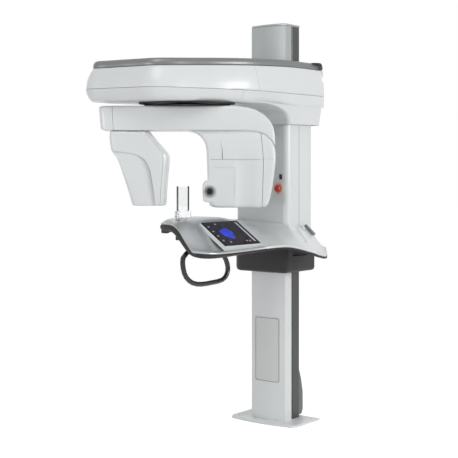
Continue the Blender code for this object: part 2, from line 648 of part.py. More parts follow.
def build_arm(turn):
    hub_top = UNDERSIDE - 0.008
    profile = [(0.0553, ARM_TOP + FIT), (0.170, ARM_TOP + FIT), (0.150, hub_top), (0.0553, hub_top)]
    turned("hub_cover", profile, (AXIS_X, AXIS_Y, 0), BLACK, turn, sides=48)
    low = ARM_BOTTOM
    sections = [(CAP_SEAM, 0.0)]
    sections += [(-0.200, 0.0), (0.180, 0.0), (0.335, 0.014)]
    drop = 0.125
    for i in range(1, 6):
        angle = radians(90 * i / 6)
        sections.append((0.345 + (ARM_RIGHT - 0.345) * sin(angle), 0.014 + (drop - 0.014) * (1 - cos(angle))))
    rings, inner = [], []
    for s, fall in sections:
        bow = 0.020 * (1 - (s / 0.48) ** 2)
        high = max(ARM_TOP - fall, low + 0.020)
        radius = min(0.016, (high - low) * 0.4)
        rings.append(arm_ring(s, ARM_HALF_WIDTH, low, high, radius, bow))
        inner.append(arm_ring(min(s, ARM_RIGHT - WALL), ARM_HALF_WIDTH - WALL, low + WALL, high - WALL,
                              radius * 0.7, bow))
    shell = walled("arm_shell", rings, inner, WHITE, turn, closed=(False, True))
    cut(shell, rod("arm_shaft_hole", (AXIS_X, AXIS_Y, ARM_TOP - 0.03), (AXIS_X, AXIS_Y, ARM_TOP + 0.03),
                   0.0560, None, sides=40))
    for name, s, radius in (("sensor_mount_hole", -0.290, 0.026), ("tube_mount_hole", 0.250, 0.031)):
        x, y, _ = arm_point(s, 0.0, 0.0)
        cut(shell, rod(name, (x, y, low - 0.03), (x, y, low + 0.03), radius, None, sides=24))
    bow = 0.020 * (1 - (CAP_SEAM / 0.48) ** 2)
    start = CAP_SEAM - 2 * FIT
    rings = [arm_ring(start, ARM_HALF_WIDTH, low, ARM_TOP, 0.016, bow),
             arm_ring(ARM_LEFT + 0.020, ARM_HALF_WIDTH - 0.002, low + 0.006, ARM_TOP - 0.001, 0.016, bow),
             arm_ring(ARM_LEFT, ARM_HALF_WIDTH - 0.014, low + 0.022, ARM_TOP - 0.008, 0.016, bow)]
    inner = [arm_ring(start, ARM_HALF_WIDTH - WALL, low + WALL, ARM_TOP - WALL, 0.012, bow),
             arm_ring(ARM_LEFT + 0.020, ARM_HALF_WIDTH - 0.002 - WALL, low + 0.006 + WALL,
                      ARM_TOP - 0.001 - WALL, 0.012, bow)]
    walled("arm_end_cap", rings, inner, WHITE, turn, closed=(False, True))
    arm_box("arm_beam", (-0.385, -0.040, 1.752), (0.330, 0.040, ARM_TOP - WALL - 0.014 - FIT), STEEL, turn)


def head_ring(s0, s1, half, height, radius=0.020):
    section = rounded(s0, s1, -half, half, radius, 3)
    return [arm_point(s, v, height) for s, v in section]


def split_plane(name, low, high, outer, depth=0.2):
    """A wedge on one side of a slanted line across a head; outer is -1 or 1."""
    (s0, z0), (s1, z1) = low, high
    far = outer * 1.0
    rings = []
    for v in (-depth, depth):
        corners = [(s0, z0), (s0 + far, z0), (s1 + far, z1), (s1, z1)]
        rings.append([arm_point(s, v, z) for s, z in corners])
    return loft(name, rings, None)


def build_sensor_head(turn):
    shapes = ((1.263, -0.285, -0.120, 0.075), (1.270, -0.294, -0.113, 0.080), (1.382, -0.324, -0.107, 0.086),
              (1.480, -0.358, -0.096, 0.090), (1.540, -0.395, -0.097, 0.090), (1.590, -0.408, -0.135, 0.090),
              (1.630, -0.414, -0.170, 0.088), (HEAD_TOP, -0.408, -0.200, 0.082))
    seam_low, seam_high = (-0.160, 1.20), (-0.205, 1.75)
    for name, side in (("sensor_head_cover", 1), ("sensor_head_front", -1)):
        rings = [head_ring(s0, s1, half, height) for height, s0, s1, half in shapes]
        shell = loft(name, rings, WHITE, turn, wall=0.003)
        gap = side * FIT
        low_end, high_end = (seam_low[0] - gap, seam_low[1]), (seam_high[0] - gap, seam_high[1])
        cut(shell, split_plane(name + "_split", low_end, high_end, side))
        if side == 1:
            x, y, _ = arm_point(-0.290, 0, 0)
            cut(shell, rod("sensor_top_hole", (x, y, HEAD_TOP - 0.02), (x, y, HEAD_TOP + 0.02), 0.026, None))
    x, y, _ = arm_point(-0.290, 0, 0)
    profile = [(0, 1.590), (0.025, 1.590), (0.025, HEAD_TOP + FIT), (0.036, HEAD_TOP + FIT),
               (0.036, ARM_BOTTOM - FIT), (0.025, ARM_BOTTOM - FIT), (0.025, 1.752 - FIT), (0, 1.752 - FIT)]
    mount = turned("sensor_mount", profile, (x, y, 0), DARK_METAL, turn, sides=24)
    fuse(mount, arm_box("detector_bracket", (-0.294, -0.050, 1.300), (-0.286, 0.050, 1.594), None, None))
    arm_box("flat_panel_detector", (-0.286 + FIT, -0.065, 1.310), (-0.246, 0.065, 1.500), DARK_METAL, turn, 0.002)


def build_tube_head(turn):
    shapes = ((1.254, 0.200, 0.405, 0.085), (1.262, 0.135, 0.432, 0.092), (1.275, 0.122, 0.442, 0.098),
              (1.390, 0.113, 0.464, 0.100), (1.480, 0.112, 0.478, 0.100), (1.545, 0.106, 0.484, 0.100),
              (1.590, 0.094, 0.482, 0.100), (1.630, 0.058, 0.478, 0.098), (HEAD_TOP, 0.030, 0.476, 0.092))
    seam_low, seam_high = (0.405, 1.20), (0.424, 1.75)
    for name, side in (("tube_head_cover", 1), ("tube_head_rear_cover", -1)):
        rings = [head_ring(s0, s1, half, height) for height, s0, s1, half in shapes]
        shell = loft(name, rings, WHITE, turn, wall=0.003)
        gap = side * FIT
        low_end, high_end = (seam_low[0] - gap, seam_low[1]), (seam_high[0] - gap, seam_high[1])
        cut(shell, split_plane(name + "_split", low_end, high_end, side))
        if side == 1:
            x, y, _ = arm_point(0.250, 0, 0)
            cut(shell, rod("tube_top_hole", (x, y, HEAD_TOP - 0.02), (x, y, HEAD_TOP + 0.02), 0.031, None))
    x, y, _ = arm_point(0.250, 0, 0)
    profile = [(0, 1.600), (0.030, 1.600), (0.030, HEAD_TOP + FIT), (0.045, HEAD_TOP + FIT),
               (0.045, ARM_BOTTOM - FIT), (0.030, ARM_BOTTOM - FIT), (0.030, 1.752 - FIT), (0, 1.752 - FIT)]
    turned("tube_mount", profile, (x, y, 0), DARK_METAL, turn, sides=24)
    arm_box("tube_housing", (0.195, -0.060, 1.330), (0.345, 0.060, 1.600 - FIT), ALUMINIUM, turn, 0.008)
    arm_box("collimator", (0.150, -0.040, 1.390), (0.195 - FIT, 0.040, 1.540), DARK_METAL, turn, 0.002)
    blade = empty("collimator_axis", arm_point(0.146, 0, 1.465), turn)
    arm_box("collimator_blade", (0.1465, -0.034, 1.420), (0.150 - FIT, 0.034, 1.500), STEEL, blade)
    x, y, _ = arm_point(0.150, -0.100, 0)
    facing = (sin(ARM_ANGLE), -cos(ARM_ANGLE), 0)
    ring = [(0.0162, FIT), (0.033, FIT), (0.030, 0.008), (0.0162, 0.010)]
    turned("camera_ring", ring, (x, y, 1.342), GREY_TRIM, turn, sides=32, axis=facing)
    lens = [(0, FIT), (0.0159, FIT), (0.0159, 0.005), (0.0100, 0.0085), (0, 0.0095)]
    turned("camera_lens", lens, (x, y, 1.342), GLASS, turn, sides=32, axis=facing)


# ---------------------------------------------------------------- console
# Stations round the console: the inner edge and the outer edge of its top, as (x, y, z).
CONSOLE = (
    ((-0.150, -0.828, 1.172), (0.150, -0.905, 1.040)),
    ((-0.155, -0.760, 1.192), (0.205, -0.815, 1.030)),
    ((-0.160, -0.640, 1.198), (0.215, -0.640, 1.030)),
    ((-0.165, -0.475, 1.196), (0.225, -0.465, 1.035)),
    ((-0.172, -0.310, 1.180), (0.255, -0.360, 1.042)),
    ((-0.176, -0.133, 1.168), (0.305, -0.300, 1.045)),
    ((0.010, -0.133, 1.156), (0.345, -0.260, 1.036)),
    ((0.154, -0.133, 1.150), (0.380, -0.215, 1.020)),
    ((0.1787, -0.1227, 1.146), (0.402, -0.180, 1.008)),
    ((0.189, -0.098, 1.142), (0.412, -0.142, 0.996)),
    ((0.189, -0.020, 1.126), (0.400, -0.060, 0.986)),
    ((0.189, 0.045, 1.116), (0.345, 0.020, 1.020)),
)
CONSOLE_SPLIT = 3.5
DECK_STEPS = 9


def console_point(station, t, drop=0.0):
    """A point on the console's top between its inner edge, t = 0, and its outer edge, t = 1."""
    first = min(int(station), len(CONSOLE) - 2)
    share = station - first
    inner = Vector(CONSOLE[first][0]).lerp(Vector(CONSOLE[first + 1][0]), share)
    outer = Vector(CONSOLE[first][1]).lerp(Vector(CONSOLE[first + 1][1]), share)
    start = 0.30 - 0.25 * min(1.0, max(0.0, (station - 3.0) / 2.0))
    bend = min(1.0, max(0.0, (t - start) / (0.98 - start)))
    bend = bend * bend * (3 - 2 * bend)
    point = inner.lerp(outer, t)
    point.z = inner.z + (outer.z - inner.z) * bend - drop
    return point


def console_height(x, y):
    """The height of the console's top over a point in plan, found on a fine grid of its surface."""
    last = 50 * (len(CONSOLE) - 1)
    spots = [console_point(0.02 * i, 0.02 * j) for i in range(last + 1) for j in range(51)]
    return min(spots, key=lambda p: (p.x - x) ** 2 + (p.y - y) ** 2).z


def console_rows(first, last, drop, grow=0.0, lip=0.0):
    """Rows of points along the console from one station to another, with turned-down side edges."""
    stations = [first] + [i for i in range(int(first) + 1, int(last) + 1) if first < i < last] + [last]
    rows = []
    for station in stations:
        shares = [(1 + 2 * grow) * i / DECK_STEPS - grow for i in range(DECK_STEPS + 1)]
        row = [console_point(station, share, drop) for share in shares]
        if lip:
            row = [row[0] - Vector((0, 0, lip))] + row + [row[-1] - Vector((0, 0, lip))]
        rows.append(row)
    return rows


def build_console(lift):
    gap = 0.006
    count = len(CONSOLE) - 1
    front_rows = console_rows(0.0, CONSOLE_SPLIT - gap, 0.0, lip=DECK_LIP)
    rear_rows = console_rows(CONSOLE_SPLIT + gap, count, 0.0, lip=DECK_LIP)
    lower_rows = console_rows(0.02, count - 0.03, UNDERBODY_DROP, -0.004)
    deck = sheet("console_deck", front_rows, SILVER, lift, DECK_WALL)
    tray = sheet("console_tray", rear_rows, WHITE, lift, DECK_WALL)
    underbody = sheet("console_underbody", lower_rows, DARK, lift, UNDERBODY_WALL)
    tilt = Matrix.Rotation(SCREEN_TILT, 4, "Y")
    size = Vector((SCREEN_WIDTH, SCREEN_LENGTH, SCREEN_THICK)) / 2
    centre = Vector(SCREEN_CENTRE)
    box("display_panel", centre - size, centre + size, GLASS, lift, 0.003, turn=tilt)
    clear = size + Vector((FIT, FIT, FIT)) * 3
    opening = box("display_opening", centre - clear, centre + clear, None, turn=tilt)
    cut(deck, opening)
    cut(tray, opening)
    return deck, underbody


def build_handle(lift, underbody):
    """A round bar bent into an open loop under the console, its ends held in the underbody."""
    hold = UNDERBODY_DROP + 0.7 * UNDERBODY_WALL
    front_end = console_height(HANDLE_X, -0.845) - hold
    rear_end = console_height(HANDLE_X, -0.580) - hold
    route = [(-0.845, front_end), (-0.845, front_end - 0.022), (-0.846, front_end - 0.042),
             (-0.893, 1.000), (-0.892, 0.945), (-0.868, 0.898), (-0.815, 0.864), (-0.745, 0.852),
             (-0.650, 0.854), (-0.568, 0.861), (-0.527, 0.888), (-0.518, 0.925), (-0.535, 0.968),
             (-0.572, 1.015), (-0.580, rear_end - 0.045), (-0.580, rear_end - 0.022), (-0.580, rear_end)]
    points = []
    for i in range(len(route) - 1):
        p0, p1 = route[max(i - 1, 0)], route[i]
        p2, p3 = route[i + 1], route[min(i + 2, len(route) - 1)]
        for j in range(2):
            t = j / 2
            points.append(tuple(0.5 * (2 * b + (c - a) * t + (2 * a - 5 * b + 4 * c - d) * t ** 2
                                       + (3 * b - a - 3 * c + d) * t ** 3)
                                for a, b, c, d in zip(p0, p1, p2, p3)))
    points.append(route[-1])
    curve = bpy.data.curves.new("handle", "CURVE")
    curve.dimensions = "3D"
    curve.bevel_depth = HANDLE_RADIUS
    curve.bevel_resolution = 3
    curve.use_fill_caps = True
    line = curve.splines.new("POLY")
    line.points.add(len(points) - 1)
    for point, (y, z) in zip(line.points, points):
        point.co = (HANDLE_X, y, z, 1.0)
    guide = bpy.data.objects.new("handle_guide", curve)
    CUTTERS.objects.link(guide)
    bpy.context.view_layer.update()
    graph = bpy.context.evaluated_depsgraph_get()
    mesh = bpy.data.meshes.new_from_object(guide.evaluated_get(graph))
    bm = bmesh.new()
    bm.from_mesh(mesh)
    bmesh.ops.remove_doubles(bm, verts=bm.verts, dist=1e-5)
    bm.to_mesh(mesh)
    bm.free()
    bpy.data.objects.remove(guide, do_unlink=True)
    shade(mesh)
    link(bpy.data.objects.new("patient_handle", mesh), BLACK, lift)
    for index, (y, top) in enumerate((route[0], route[-1]), 1):
        socket = rod(f"handle_socket_{index}", (HANDLE_X, y, top - 0.045), (HANDLE_X, y, top + 0.008),
                     HANDLE_RADIUS + SOCKET_PLAY, None)
        cut(underbody, socket)


def build_chin_rest(lift, deck, underbody):
    base, high, pin = 1.2003, 0.034, 0.0120
    half_width, half_length, post_offset = 0.020, 0.055, 0.045
    rest = empty("chin_rest_axis", (CHIN_X, CHIN_Y, base), lift)
    outline = rounded(CHIN_X - half_width, CHIN_X + half_width, CHIN_Y - half_length, CHIN_Y + half_length, 0.016)
    base_block = loft("chin_rest_base", [level(outline, base), level(outline, base + high)], CLEAR, rest)
    fuse(base_block, rod("chin_pin", (CHIN_X, CHIN_Y, 1.1660), (CHIN_X, CHIN_Y, base + 0.010), pin, None))
    plate = box("chin_support", (CHIN_X - 0.0015, CHIN_Y - post_offset, base + high + FIT),
                (CHIN_X + 0.0015, CHIN_Y + post_offset, 1.364), CLEAR, rest)
    for side, offset in (("left", -post_offset), ("right", post_offset)):
        fuse(plate, rod(f"chin_post_{side}", (CHIN_X, CHIN_Y + offset, base + high + FIT),
                        (CHIN_X, CHIN_Y + offset, 1.368), 0.0055, None, sides=16))
    hole = rod("chin_hole", (CHIN_X, CHIN_Y, 1.14), (CHIN_X, CHIN_Y, 1.22), pin + 2 * FIT, None)
    cut(deck, hole)
    cut(underbody, hole)


def build_knob(lift, underbody):
    x, y = -0.010, -0.835
    seat = console_height(x, y) - UNDERBODY_DROP - 0.5 * UNDERBODY_WALL
    high = seat - 0.028
    low = high - 0.024
    axis = empty("knob_axis", (x, y, low), lift)
    bm = bmesh.new()
    points = 40
    rings = []
    for height, scale in ((low, 0.90), (low + 0.004, 1.0), (high - 0.006, 1.0), (high, 0.80)):
        ring = []
        for i in range(points):
            angle = 2 * pi * i / points
            reach = scale * (0.0195 + 0.0045 * cos(5 * angle))
            ring.append(bm.verts.new((x + reach * cos(angle), y + reach * sin(angle), height)))
        rings.append(ring)
    for lower, upper in zip(rings, rings[1:]):
        ring_faces(bm, lower, upper)
    bm.faces.new(list(reversed(rings[0])))
    bm.faces.new(rings[-1])
    knob = finish("clamp_knob", bm, DARK, axis)
    fuse(knob, rod("knob_stem", (x, y, high - 0.004), (x, y, seat), 0.006, None, sides=16))
    cut(underbody, rod("knob_hole", (x, y, seat - 0.02), (x, y, seat + 0.004), 0.006 + 2 * FIT, None))


def build_control_box(lift):
    low, high = 0.875, CARRIAGE_BOTTOM
    shell = box("control_box", (-0.205, -0.195, low), (0.215, 0.112, high), DARK, lift, bevel=0.012, segments=3)
    cut(shell, box("column_passage", (-0.145, -0.090, 0.8), (0.145, 0.200, 1.1), None))
    cut(shell, box("box_pocket", (-0.193, -0.188, low + 0.007), (0.203, -0.102, 1.1), None))
    cut(shell, box("side_slot", (0.203, -0.020, 0.990), (0.230, 0.085, 1.022), None))
    floor = low + 0.007 + FIT
    box("control_board", (-0.120, -0.1450, floor), (0.120, -0.1430, 1.010), GREEN_BOARD, lift)
    box("power_supply", (-0.170, -0.186, floor), (-0.020, -0.152, 0.960), ALUMINIUM, lift, 0.002)


def build_grip_rail(lift):
    start, end = console_point(10.62, 0.10, -0.0189), console_point(10.62, 0.50, -0.0221)
    rod("accessory_rail", start, end, 0.0095, GREY_TRIM, lift, sides=20, bevel=0.0015)


def main():
    lift = empty("lift_axis", (0, 0, 0))
    build_floor_plate()
    build_column()
    build_lift_drive(lift)
    build_rear_cover()
    cover = build_carriage(lift)
    build_carriage_frame(lift)
    build_collar(lift)
    build_controls(lift, cover)
    stage_base = build_overhead(lift)
    turn = build_stage(lift, stage_base)
    build_arm(turn)
    build_sensor_head(turn)
    build_tube_head(turn)
    deck, underbody = build_console(lift)
    build_handle(lift, underbody)
    build_chin_rest(lift, deck, underbody)
    build_knob(lift, underbody)
    build_control_box(lift)
    build_grip_rail(lift)


main()
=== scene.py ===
import json
from math import cos, pi, radians, sin

import bmesh
import bpy
from mathutils import Matrix, Vector


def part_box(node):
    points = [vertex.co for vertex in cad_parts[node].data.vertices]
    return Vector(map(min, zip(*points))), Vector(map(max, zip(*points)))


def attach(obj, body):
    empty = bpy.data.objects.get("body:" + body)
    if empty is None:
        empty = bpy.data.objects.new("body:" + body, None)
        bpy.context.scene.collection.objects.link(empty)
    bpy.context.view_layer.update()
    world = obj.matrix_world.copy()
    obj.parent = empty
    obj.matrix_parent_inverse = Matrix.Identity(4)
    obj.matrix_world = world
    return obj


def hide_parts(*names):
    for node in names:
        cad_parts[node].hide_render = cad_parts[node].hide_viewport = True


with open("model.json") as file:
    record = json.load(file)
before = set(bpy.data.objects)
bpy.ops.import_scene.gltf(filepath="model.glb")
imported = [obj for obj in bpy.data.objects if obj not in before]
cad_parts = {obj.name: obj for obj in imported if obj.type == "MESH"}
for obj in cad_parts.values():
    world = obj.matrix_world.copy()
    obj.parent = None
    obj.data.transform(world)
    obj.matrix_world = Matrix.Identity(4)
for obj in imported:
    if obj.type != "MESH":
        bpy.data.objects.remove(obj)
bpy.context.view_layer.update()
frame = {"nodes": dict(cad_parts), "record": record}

nodes = frame["nodes"]
nodeSlot = {part["node"]: part["material_slot"] for part in frame["record"]["subparts"]}
nodeBody = {n: body for body, names in frame["record"]["behaviour"]["bodies"].items() for n in names}
print("frame loaded:", len(nodes), "nodes")


# materials: each one mixes two close tones by noise, and varies its roughness and its fine relief
def nodeFinish(name, light, dark, rough=(0.3, 0.4), tone=6.0, grain=400.0, relief=0.02, metal=0.0,
               stretch=(1, 1, 1), coat=0.0, specular=0.5):
    material = bpy.data.materials.new(name)
    material.use_nodes = True
    tree = material.node_tree
    shader = tree.nodes["Principled BSDF"]
    place = tree.nodes.new("ShaderNodeTexCoord")
    mapping = tree.nodes.new("ShaderNodeMapping")
    mapping.inputs["Scale"].default_value = stretch
    tree.links.new(place.outputs["Object"], mapping.inputs["Vector"])
    broad = tree.nodes.new("ShaderNodeTexNoise")
    broad.inputs["Scale"].default_value = tone
    broad.inputs["Detail"].default_value = 4.0
    tree.links.new(mapping.outputs["Vector"], broad.inputs["Vector"])
    blend = tree.nodes.new("ShaderNodeMix")
    blend.data_type = "RGBA"
    blend.inputs["A"].default_value = (*dark, 1.0)
    blend.inputs["B"].default_value = (*light, 1.0)
    tree.links.new(broad.outputs["Fac"], blend.inputs["Factor"])
    tree.links.new(blend.outputs["Result"], shader.inputs["Base Color"])
    fine = tree.nodes.new("ShaderNodeTexNoise")
    fine.inputs["Scale"].default_value = grain
    fine.inputs["Detail"].default_value = 3.0
    tree.links.new(mapping.outputs["Vector"], fine.inputs["Vector"])
    spread = tree.nodes.new("ShaderNodeMapRange")
    spread.inputs["To Min"].default_value = rough[0]
    spread.inputs["To Max"].default_value = rough[1]
    tree.links.new(fine.outputs["Fac"], spread.inputs["Value"])
    tree.links.new(spread.outputs["Result"], shader.inputs["Roughness"])
    bump = tree.nodes.new("ShaderNodeBump")
    bump.inputs["Strength"].default_value = relief
    bump.inputs["Distance"].default_value = 0.0004
    tree.links.new(fine.outputs["Fac"], bump.inputs["Height"])
    tree.links.new(bump.outputs["Normal"], shader.inputs["Normal"])
    shader.inputs["Metallic"].default_value = metal
    shader.inputs["Coat Weight"].default_value = coat
    shader.inputs["Coat Roughness"].default_value = 0.12
    shader.inputs["Specular IOR Level"].default_value = specular
    return material


finishes = {
    "white_plastic": nodeFinish("whitePlastic", (0.80, 0.82, 0.82), (0.77, 0.79, 0.79), (0.26, 0.34), relief=0.03,
                                coat=0.25),
    "grey_trim": nodeFinish("greyTrim", (0.24, 0.243, 0.247), (0.20, 0.203, 0.207), (0.30, 0.40), metal=0.55,
                            specular=0.35),
    "silver_paint": nodeFinish("silverPaint", (0.84, 0.86, 0.86), (0.80, 0.82, 0.82), (0.28, 0.38), grain=900,
                               relief=0.08, metal=0.06),
    "aluminium": nodeFinish("brushedAluminium", (0.44, 0.46, 0.46), (0.35, 0.37, 0.37), (0.26, 0.42), tone=14,
                            grain=260, relief=0.10, metal=0.85, stretch=(1, 1, 0.03)),
    "steel": nodeFinish("groundSteel", (0.52, 0.53, 0.54), (0.42, 0.43, 0.44), (0.22, 0.38), tone=20, grain=300,
                        relief=0.08, metal=1.0, stretch=(0.08, 1, 1)),
    "dark_metal": nodeFinish("darkMetal", (0.085, 0.086, 0.088), (0.060, 0.061, 0.063), (0.32, 0.50), grain=700,
                             relief=0.06, metal=0.4),
    "dark_plastic": nodeFinish("charcoalPlastic", (0.034, 0.033, 0.032), (0.024, 0.0235, 0.023), (0.42, 0.56),
                               grain=1100, relief=0.12, specular=0.3),
    "black_gloss": nodeFinish("glossBlack", (0.016, 0.016, 0.016), (0.010, 0.010, 0.010), (0.16, 0.24), relief=0.02,
                              coat=0.15, specular=0.4),
    "red_button": nodeFinish("redButton", (0.62, 0.055, 0.025), (0.52, 0.040, 0.018), (0.25, 0.35)),
    "dark_glass": nodeFinish("displayGlass", (0.010, 0.011, 0.013), (0.006, 0.007, 0.008), (0.14, 0.20),
                             relief=0.0, specular=0.25),
    "circuit_board": nodeFinish("circuitBoard", (0.02, 0.16, 0.07), (0.01, 0.10, 0.04), (0.35, 0.55), tone=60),
    "black_rubber": nodeFinish("blackRubber", (0.028, 0.028, 0.028), (0.018, 0.018, 0.018), (0.60, 0.80),
                               grain=900, relief=0.20),
}
clear = nodeFinish("clearAcrylic", (0.97, 0.98, 0.99), (0.95, 0.96, 0.97), (0.02, 0.05), relief=0.0)
clear.node_tree.nodes["Principled BSDF"].inputs["Transmission Weight"].default_value = 0.94
clear.node_tree.nodes["Principled BSDF"].inputs["IOR"].default_value = 1.47
finishes["clear_acrylic"] = clear
ringPink = nodeFinish("stopRing", (0.86, 0.56, 0.47), (0.82, 0.50, 0.41), (0.30, 0.40))
ringGrey = nodeFinish("ringGrey", (0.56, 0.58, 0.58), (0.50, 0.52, 0.52), (0.28, 0.36))
coverGrey = nodeFinish("coverGrey", (0.150, 0.152, 0.155), (0.120, 0.122, 0.125), (0.34, 0.44), grain=900,
                       relief=0.10)
smoked = nodeFinish("smokedAcrylic", (0.060, 0.058, 0.056), (0.040, 0.039, 0.038), (0.08, 0.14), relief=0.0,
                    coat=0.3)
deckSilver = nodeFinish("deckSilver", (0.50, 0.52, 0.53), (0.44, 0.46, 0.47), (0.24, 0.32), grain=900, relief=0.06,
                        metal=0.7)
plateSilver = nodeFinish("plateSilver", (0.76, 0.78, 0.76), (0.72, 0.74, 0.72), (0.34, 0.44), relief=0.04,
                         metal=0.05)
# painted shade: a dark grey for strips laid into seam gaps, in place of the shadow inside them
seamShadePaint = nodeFinish("seamShadow", (0.20, 0.205, 0.21), (0.15, 0.155, 0.16), (0.5, 0.7))
print("materials made:", len(bpy.data.materials))


# every piece is a copy of a CAD node or a new mesh: this gives it its body, its slot and its smooth shading
def setOut(piece, node, body=None, material=None, sharp=35.0):
    piece.data.materials.clear()
    piece.data.materials.append(material or finishes[nodeSlot[node]])
    piece.data.shade_smooth()
    piece.data.set_sharp_from_angle(angle=radians(sharp))
    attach(piece, body or nodeBody[node])
    return piece


def meshPiece(name, bm):
    mesh = bpy.data.meshes.new(name)
    bmesh.ops.recalc_face_normals(bm, faces=bm.faces)
    middle = sum((vert.co for vert in bm.verts), Vector()) / len(bm.verts)
    outward = sum(face.normal.dot(face.calc_center_median() - middle) * face.calc_area() for face in bm.faces)
    if outward < 0:
        bmesh.ops.reverse_faces(bm, faces=bm.faces)
    bm.to_mesh(mesh)
    bm.free()
    piece = bpy.data.objects.new(name, mesh)
    bpy.context.scene.collection.objects.link(piece)
    return piece


def dropTo(obj):
    # swaps an object's modifiers for the mesh that they make
    graph = bpy.context.evaluated_depsgraph_get()
    mesh = bpy.data.meshes.new_from_object(obj.evaluated_get(graph))
    obj.modifiers.clear()
    obj.data = mesh
    return obj


def refined(node, name, width=0.0015, segments=3, flat=1.0, sharp=35.0, angle=30.0, material=None):
    # a copy of a CAD node with its flat faces whole again and its edges rounded
    bm = bmesh.new()
    bm.from_mesh(nodes[node].data)
    bmesh.ops.remove_doubles(bm, verts=bm.verts, dist=1e-5)
    bmesh.ops.dissolve_limit(bm, angle_limit=radians(flat), verts=bm.verts, edges=bm.edges)
    piece = meshPiece(name, bm)
    if width:
        edge = piece.modifiers.new("edges", "BEVEL")
        edge.width = width
        edge.segments = segments
        edge.limit_method = "ANGLE"
        edge.angle_limit = radians(angle)
        edge.use_clamp_overlap = True
        edge.harden_normals = False
    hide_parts(node)
    return setOut(piece, node, material=material, sharp=sharp)


refinedNodes = {
    "floor_plate": 0.0012, "column_front_cover": 0.0008, "column_upper_profile": 0.0008, "column_top_cap": 0.001,
    "name_plate": 0.0004, "cable_cover": 0.004, "carriage_front_cover": 0.0012,
    "accessory_rail": 0.001, 
}


refinedCopies = {}


def buildCopies():
    for node, obj in nodes.items():
        if node in refinedNodes:
            refinedCopies[node] = refined(node, node + "Skin", refinedNodes[node])
        else:
            obj.data.materials.clear()
            obj.data.materials.append(finishes[nodeSlot[node]])
            obj.data.shade_smooth()
            obj.data.set_sharp_from_angle(angle=radians(35))
    print("copies made")


buildCopies()


# an outline through a few points, smoothed by a closed curve, as a list of points that runs anticlockwise
def smoothOutline(points, steps, corner=()):
    curve = bpy.data.curves.new("outlineGuide", "CURVE")
    curve.dimensions = "2D"
    curve.resolution_u = steps
    line = curve.splines.new("BEZIER")
    line.bezier_points.add(len(points) - 1)
    line.use_cyclic_u = True
    for i, point in enumerate(points):
        spot = line.bezier_points[i]
        spot.co = (*point, 0.0)
        spot.handle_left_type = spot.handle_right_type = "VECTOR" if i in corner else "AUTO"
    guide = bpy.data.objects.new("outlineGuide", curve)
    bpy.context.scene.collection.objects.link(guide)
    graph = bpy.context.evaluated_depsgraph_get()
    mesh = bpy.data.meshes.new_from_object(guide.evaluated_get(graph))
    outline = [vert.co.xy.copy() for vert in mesh.vertices]
    bpy.data.objects.remove(guide, do_unlink=True)
    bpy.data.meshes.remove(mesh)
    area = sum(a.x * b.y - b.x * a.y for a, b in zip(outline, outline[1:] + outline[:1]))
    return outline if area > 0 else outline[::-1]


def insetOutline(outline, amount):
    count = len(outline)
    moved = []
    for i, spot in enumerate(outline):
        along = (outline[(i + 1) % count] - outline[i - 1]).normalized()
        step = amount(spot) if callable(amount) else amount
        moved.append(spot + Vector((-along.y, along.x)) * step)
    return moved


def ringIn(bm, outline, height):
    verts = [bm.verts.new((p.x, p.y, height(p) if callable(height) else height)) for p in outline]
    return [bm.edges.new((a, b)) for a, b in zip(verts, verts[1:] + verts[:1])]


def bridgeRings(bm, rings):
    for lower, upper in zip(rings, rings[1:]):
        bmesh.ops.bridge_loops(bm, edges=lower + upper)


def capRing(bm, ring):
    bmesh.ops.triangle_fill(bm, edges=ring, use_beauty=True)


def walled(piece, thickness):
    wall = piece.modifiers.new("wall", "SOLIDIFY")
    wall.thickness = thickness
    wall.offset = -1.0
    wall.use_even_offset = False
    return dropTo(piece)


def cutAway(piece, low, high, turn=0.0, bend=None):
    # takes a box out of a piece
    bm = bmesh.new()
    bmesh.ops.create_cube(bm, size=1.0)
    size = Vector(high) - Vector(low)
    bmesh.ops.scale(bm, vec=size, verts=bm.verts)
    if bend:
        bmesh.ops.rotate(bm, cent=(0, 0, 0), matrix=bend, verts=bm.verts)
    bmesh.ops.translate(bm, vec=(Vector(high) + Vector(low)) / 2, verts=bm.verts)
    if turn:
        bmesh.ops.rotate(bm, cent=(0, 0, 0), matrix=Matrix.Rotation(turn, 3, "Z"), verts=bm.verts)
    cutter = meshPiece("cutter", bm)
    return cutWith(piece, cutter)


def cutWith(piece, cutter, operation="DIFFERENCE", solver="MANIFOLD"):
    taken = piece.modifiers.new("cut", "BOOLEAN")
    taken.operation = operation
    taken.solver = solver
    taken.object = cutter
    dropTo(piece)
    bpy.data.objects.remove(cutter, do_unlink=True)
    return piece


def drum(name, start, end, radius, sides=48, topRadius=None):
    bm = bmesh.new()
    along = Vector(end) - Vector(start)
    bmesh.ops.create_cone(bm, cap_ends=True, segments=sides, radius1=radius, radius2=topRadius or radius,
                          depth=along.length)
    spin = along.to_track_quat("Z", "Y").to_matrix()
    bmesh.ops.rotate(bm, cent=(0, 0, 0), matrix=spin, verts=bm.verts)
    bmesh.ops.translate(bm, vec=(Vector(start) + Vector(end)) / 2, verts=bm.verts)
    return meshPiece(name, bm)


def softEdges(piece, width, segments=3, angle=30.0):
    edge = piece.modifiers.new("edges", "BEVEL")
    edge.width = width
    edge.segments = segments
    edge.limit_method = "ANGLE"
    edge.angle_limit = radians(angle)
    return piece


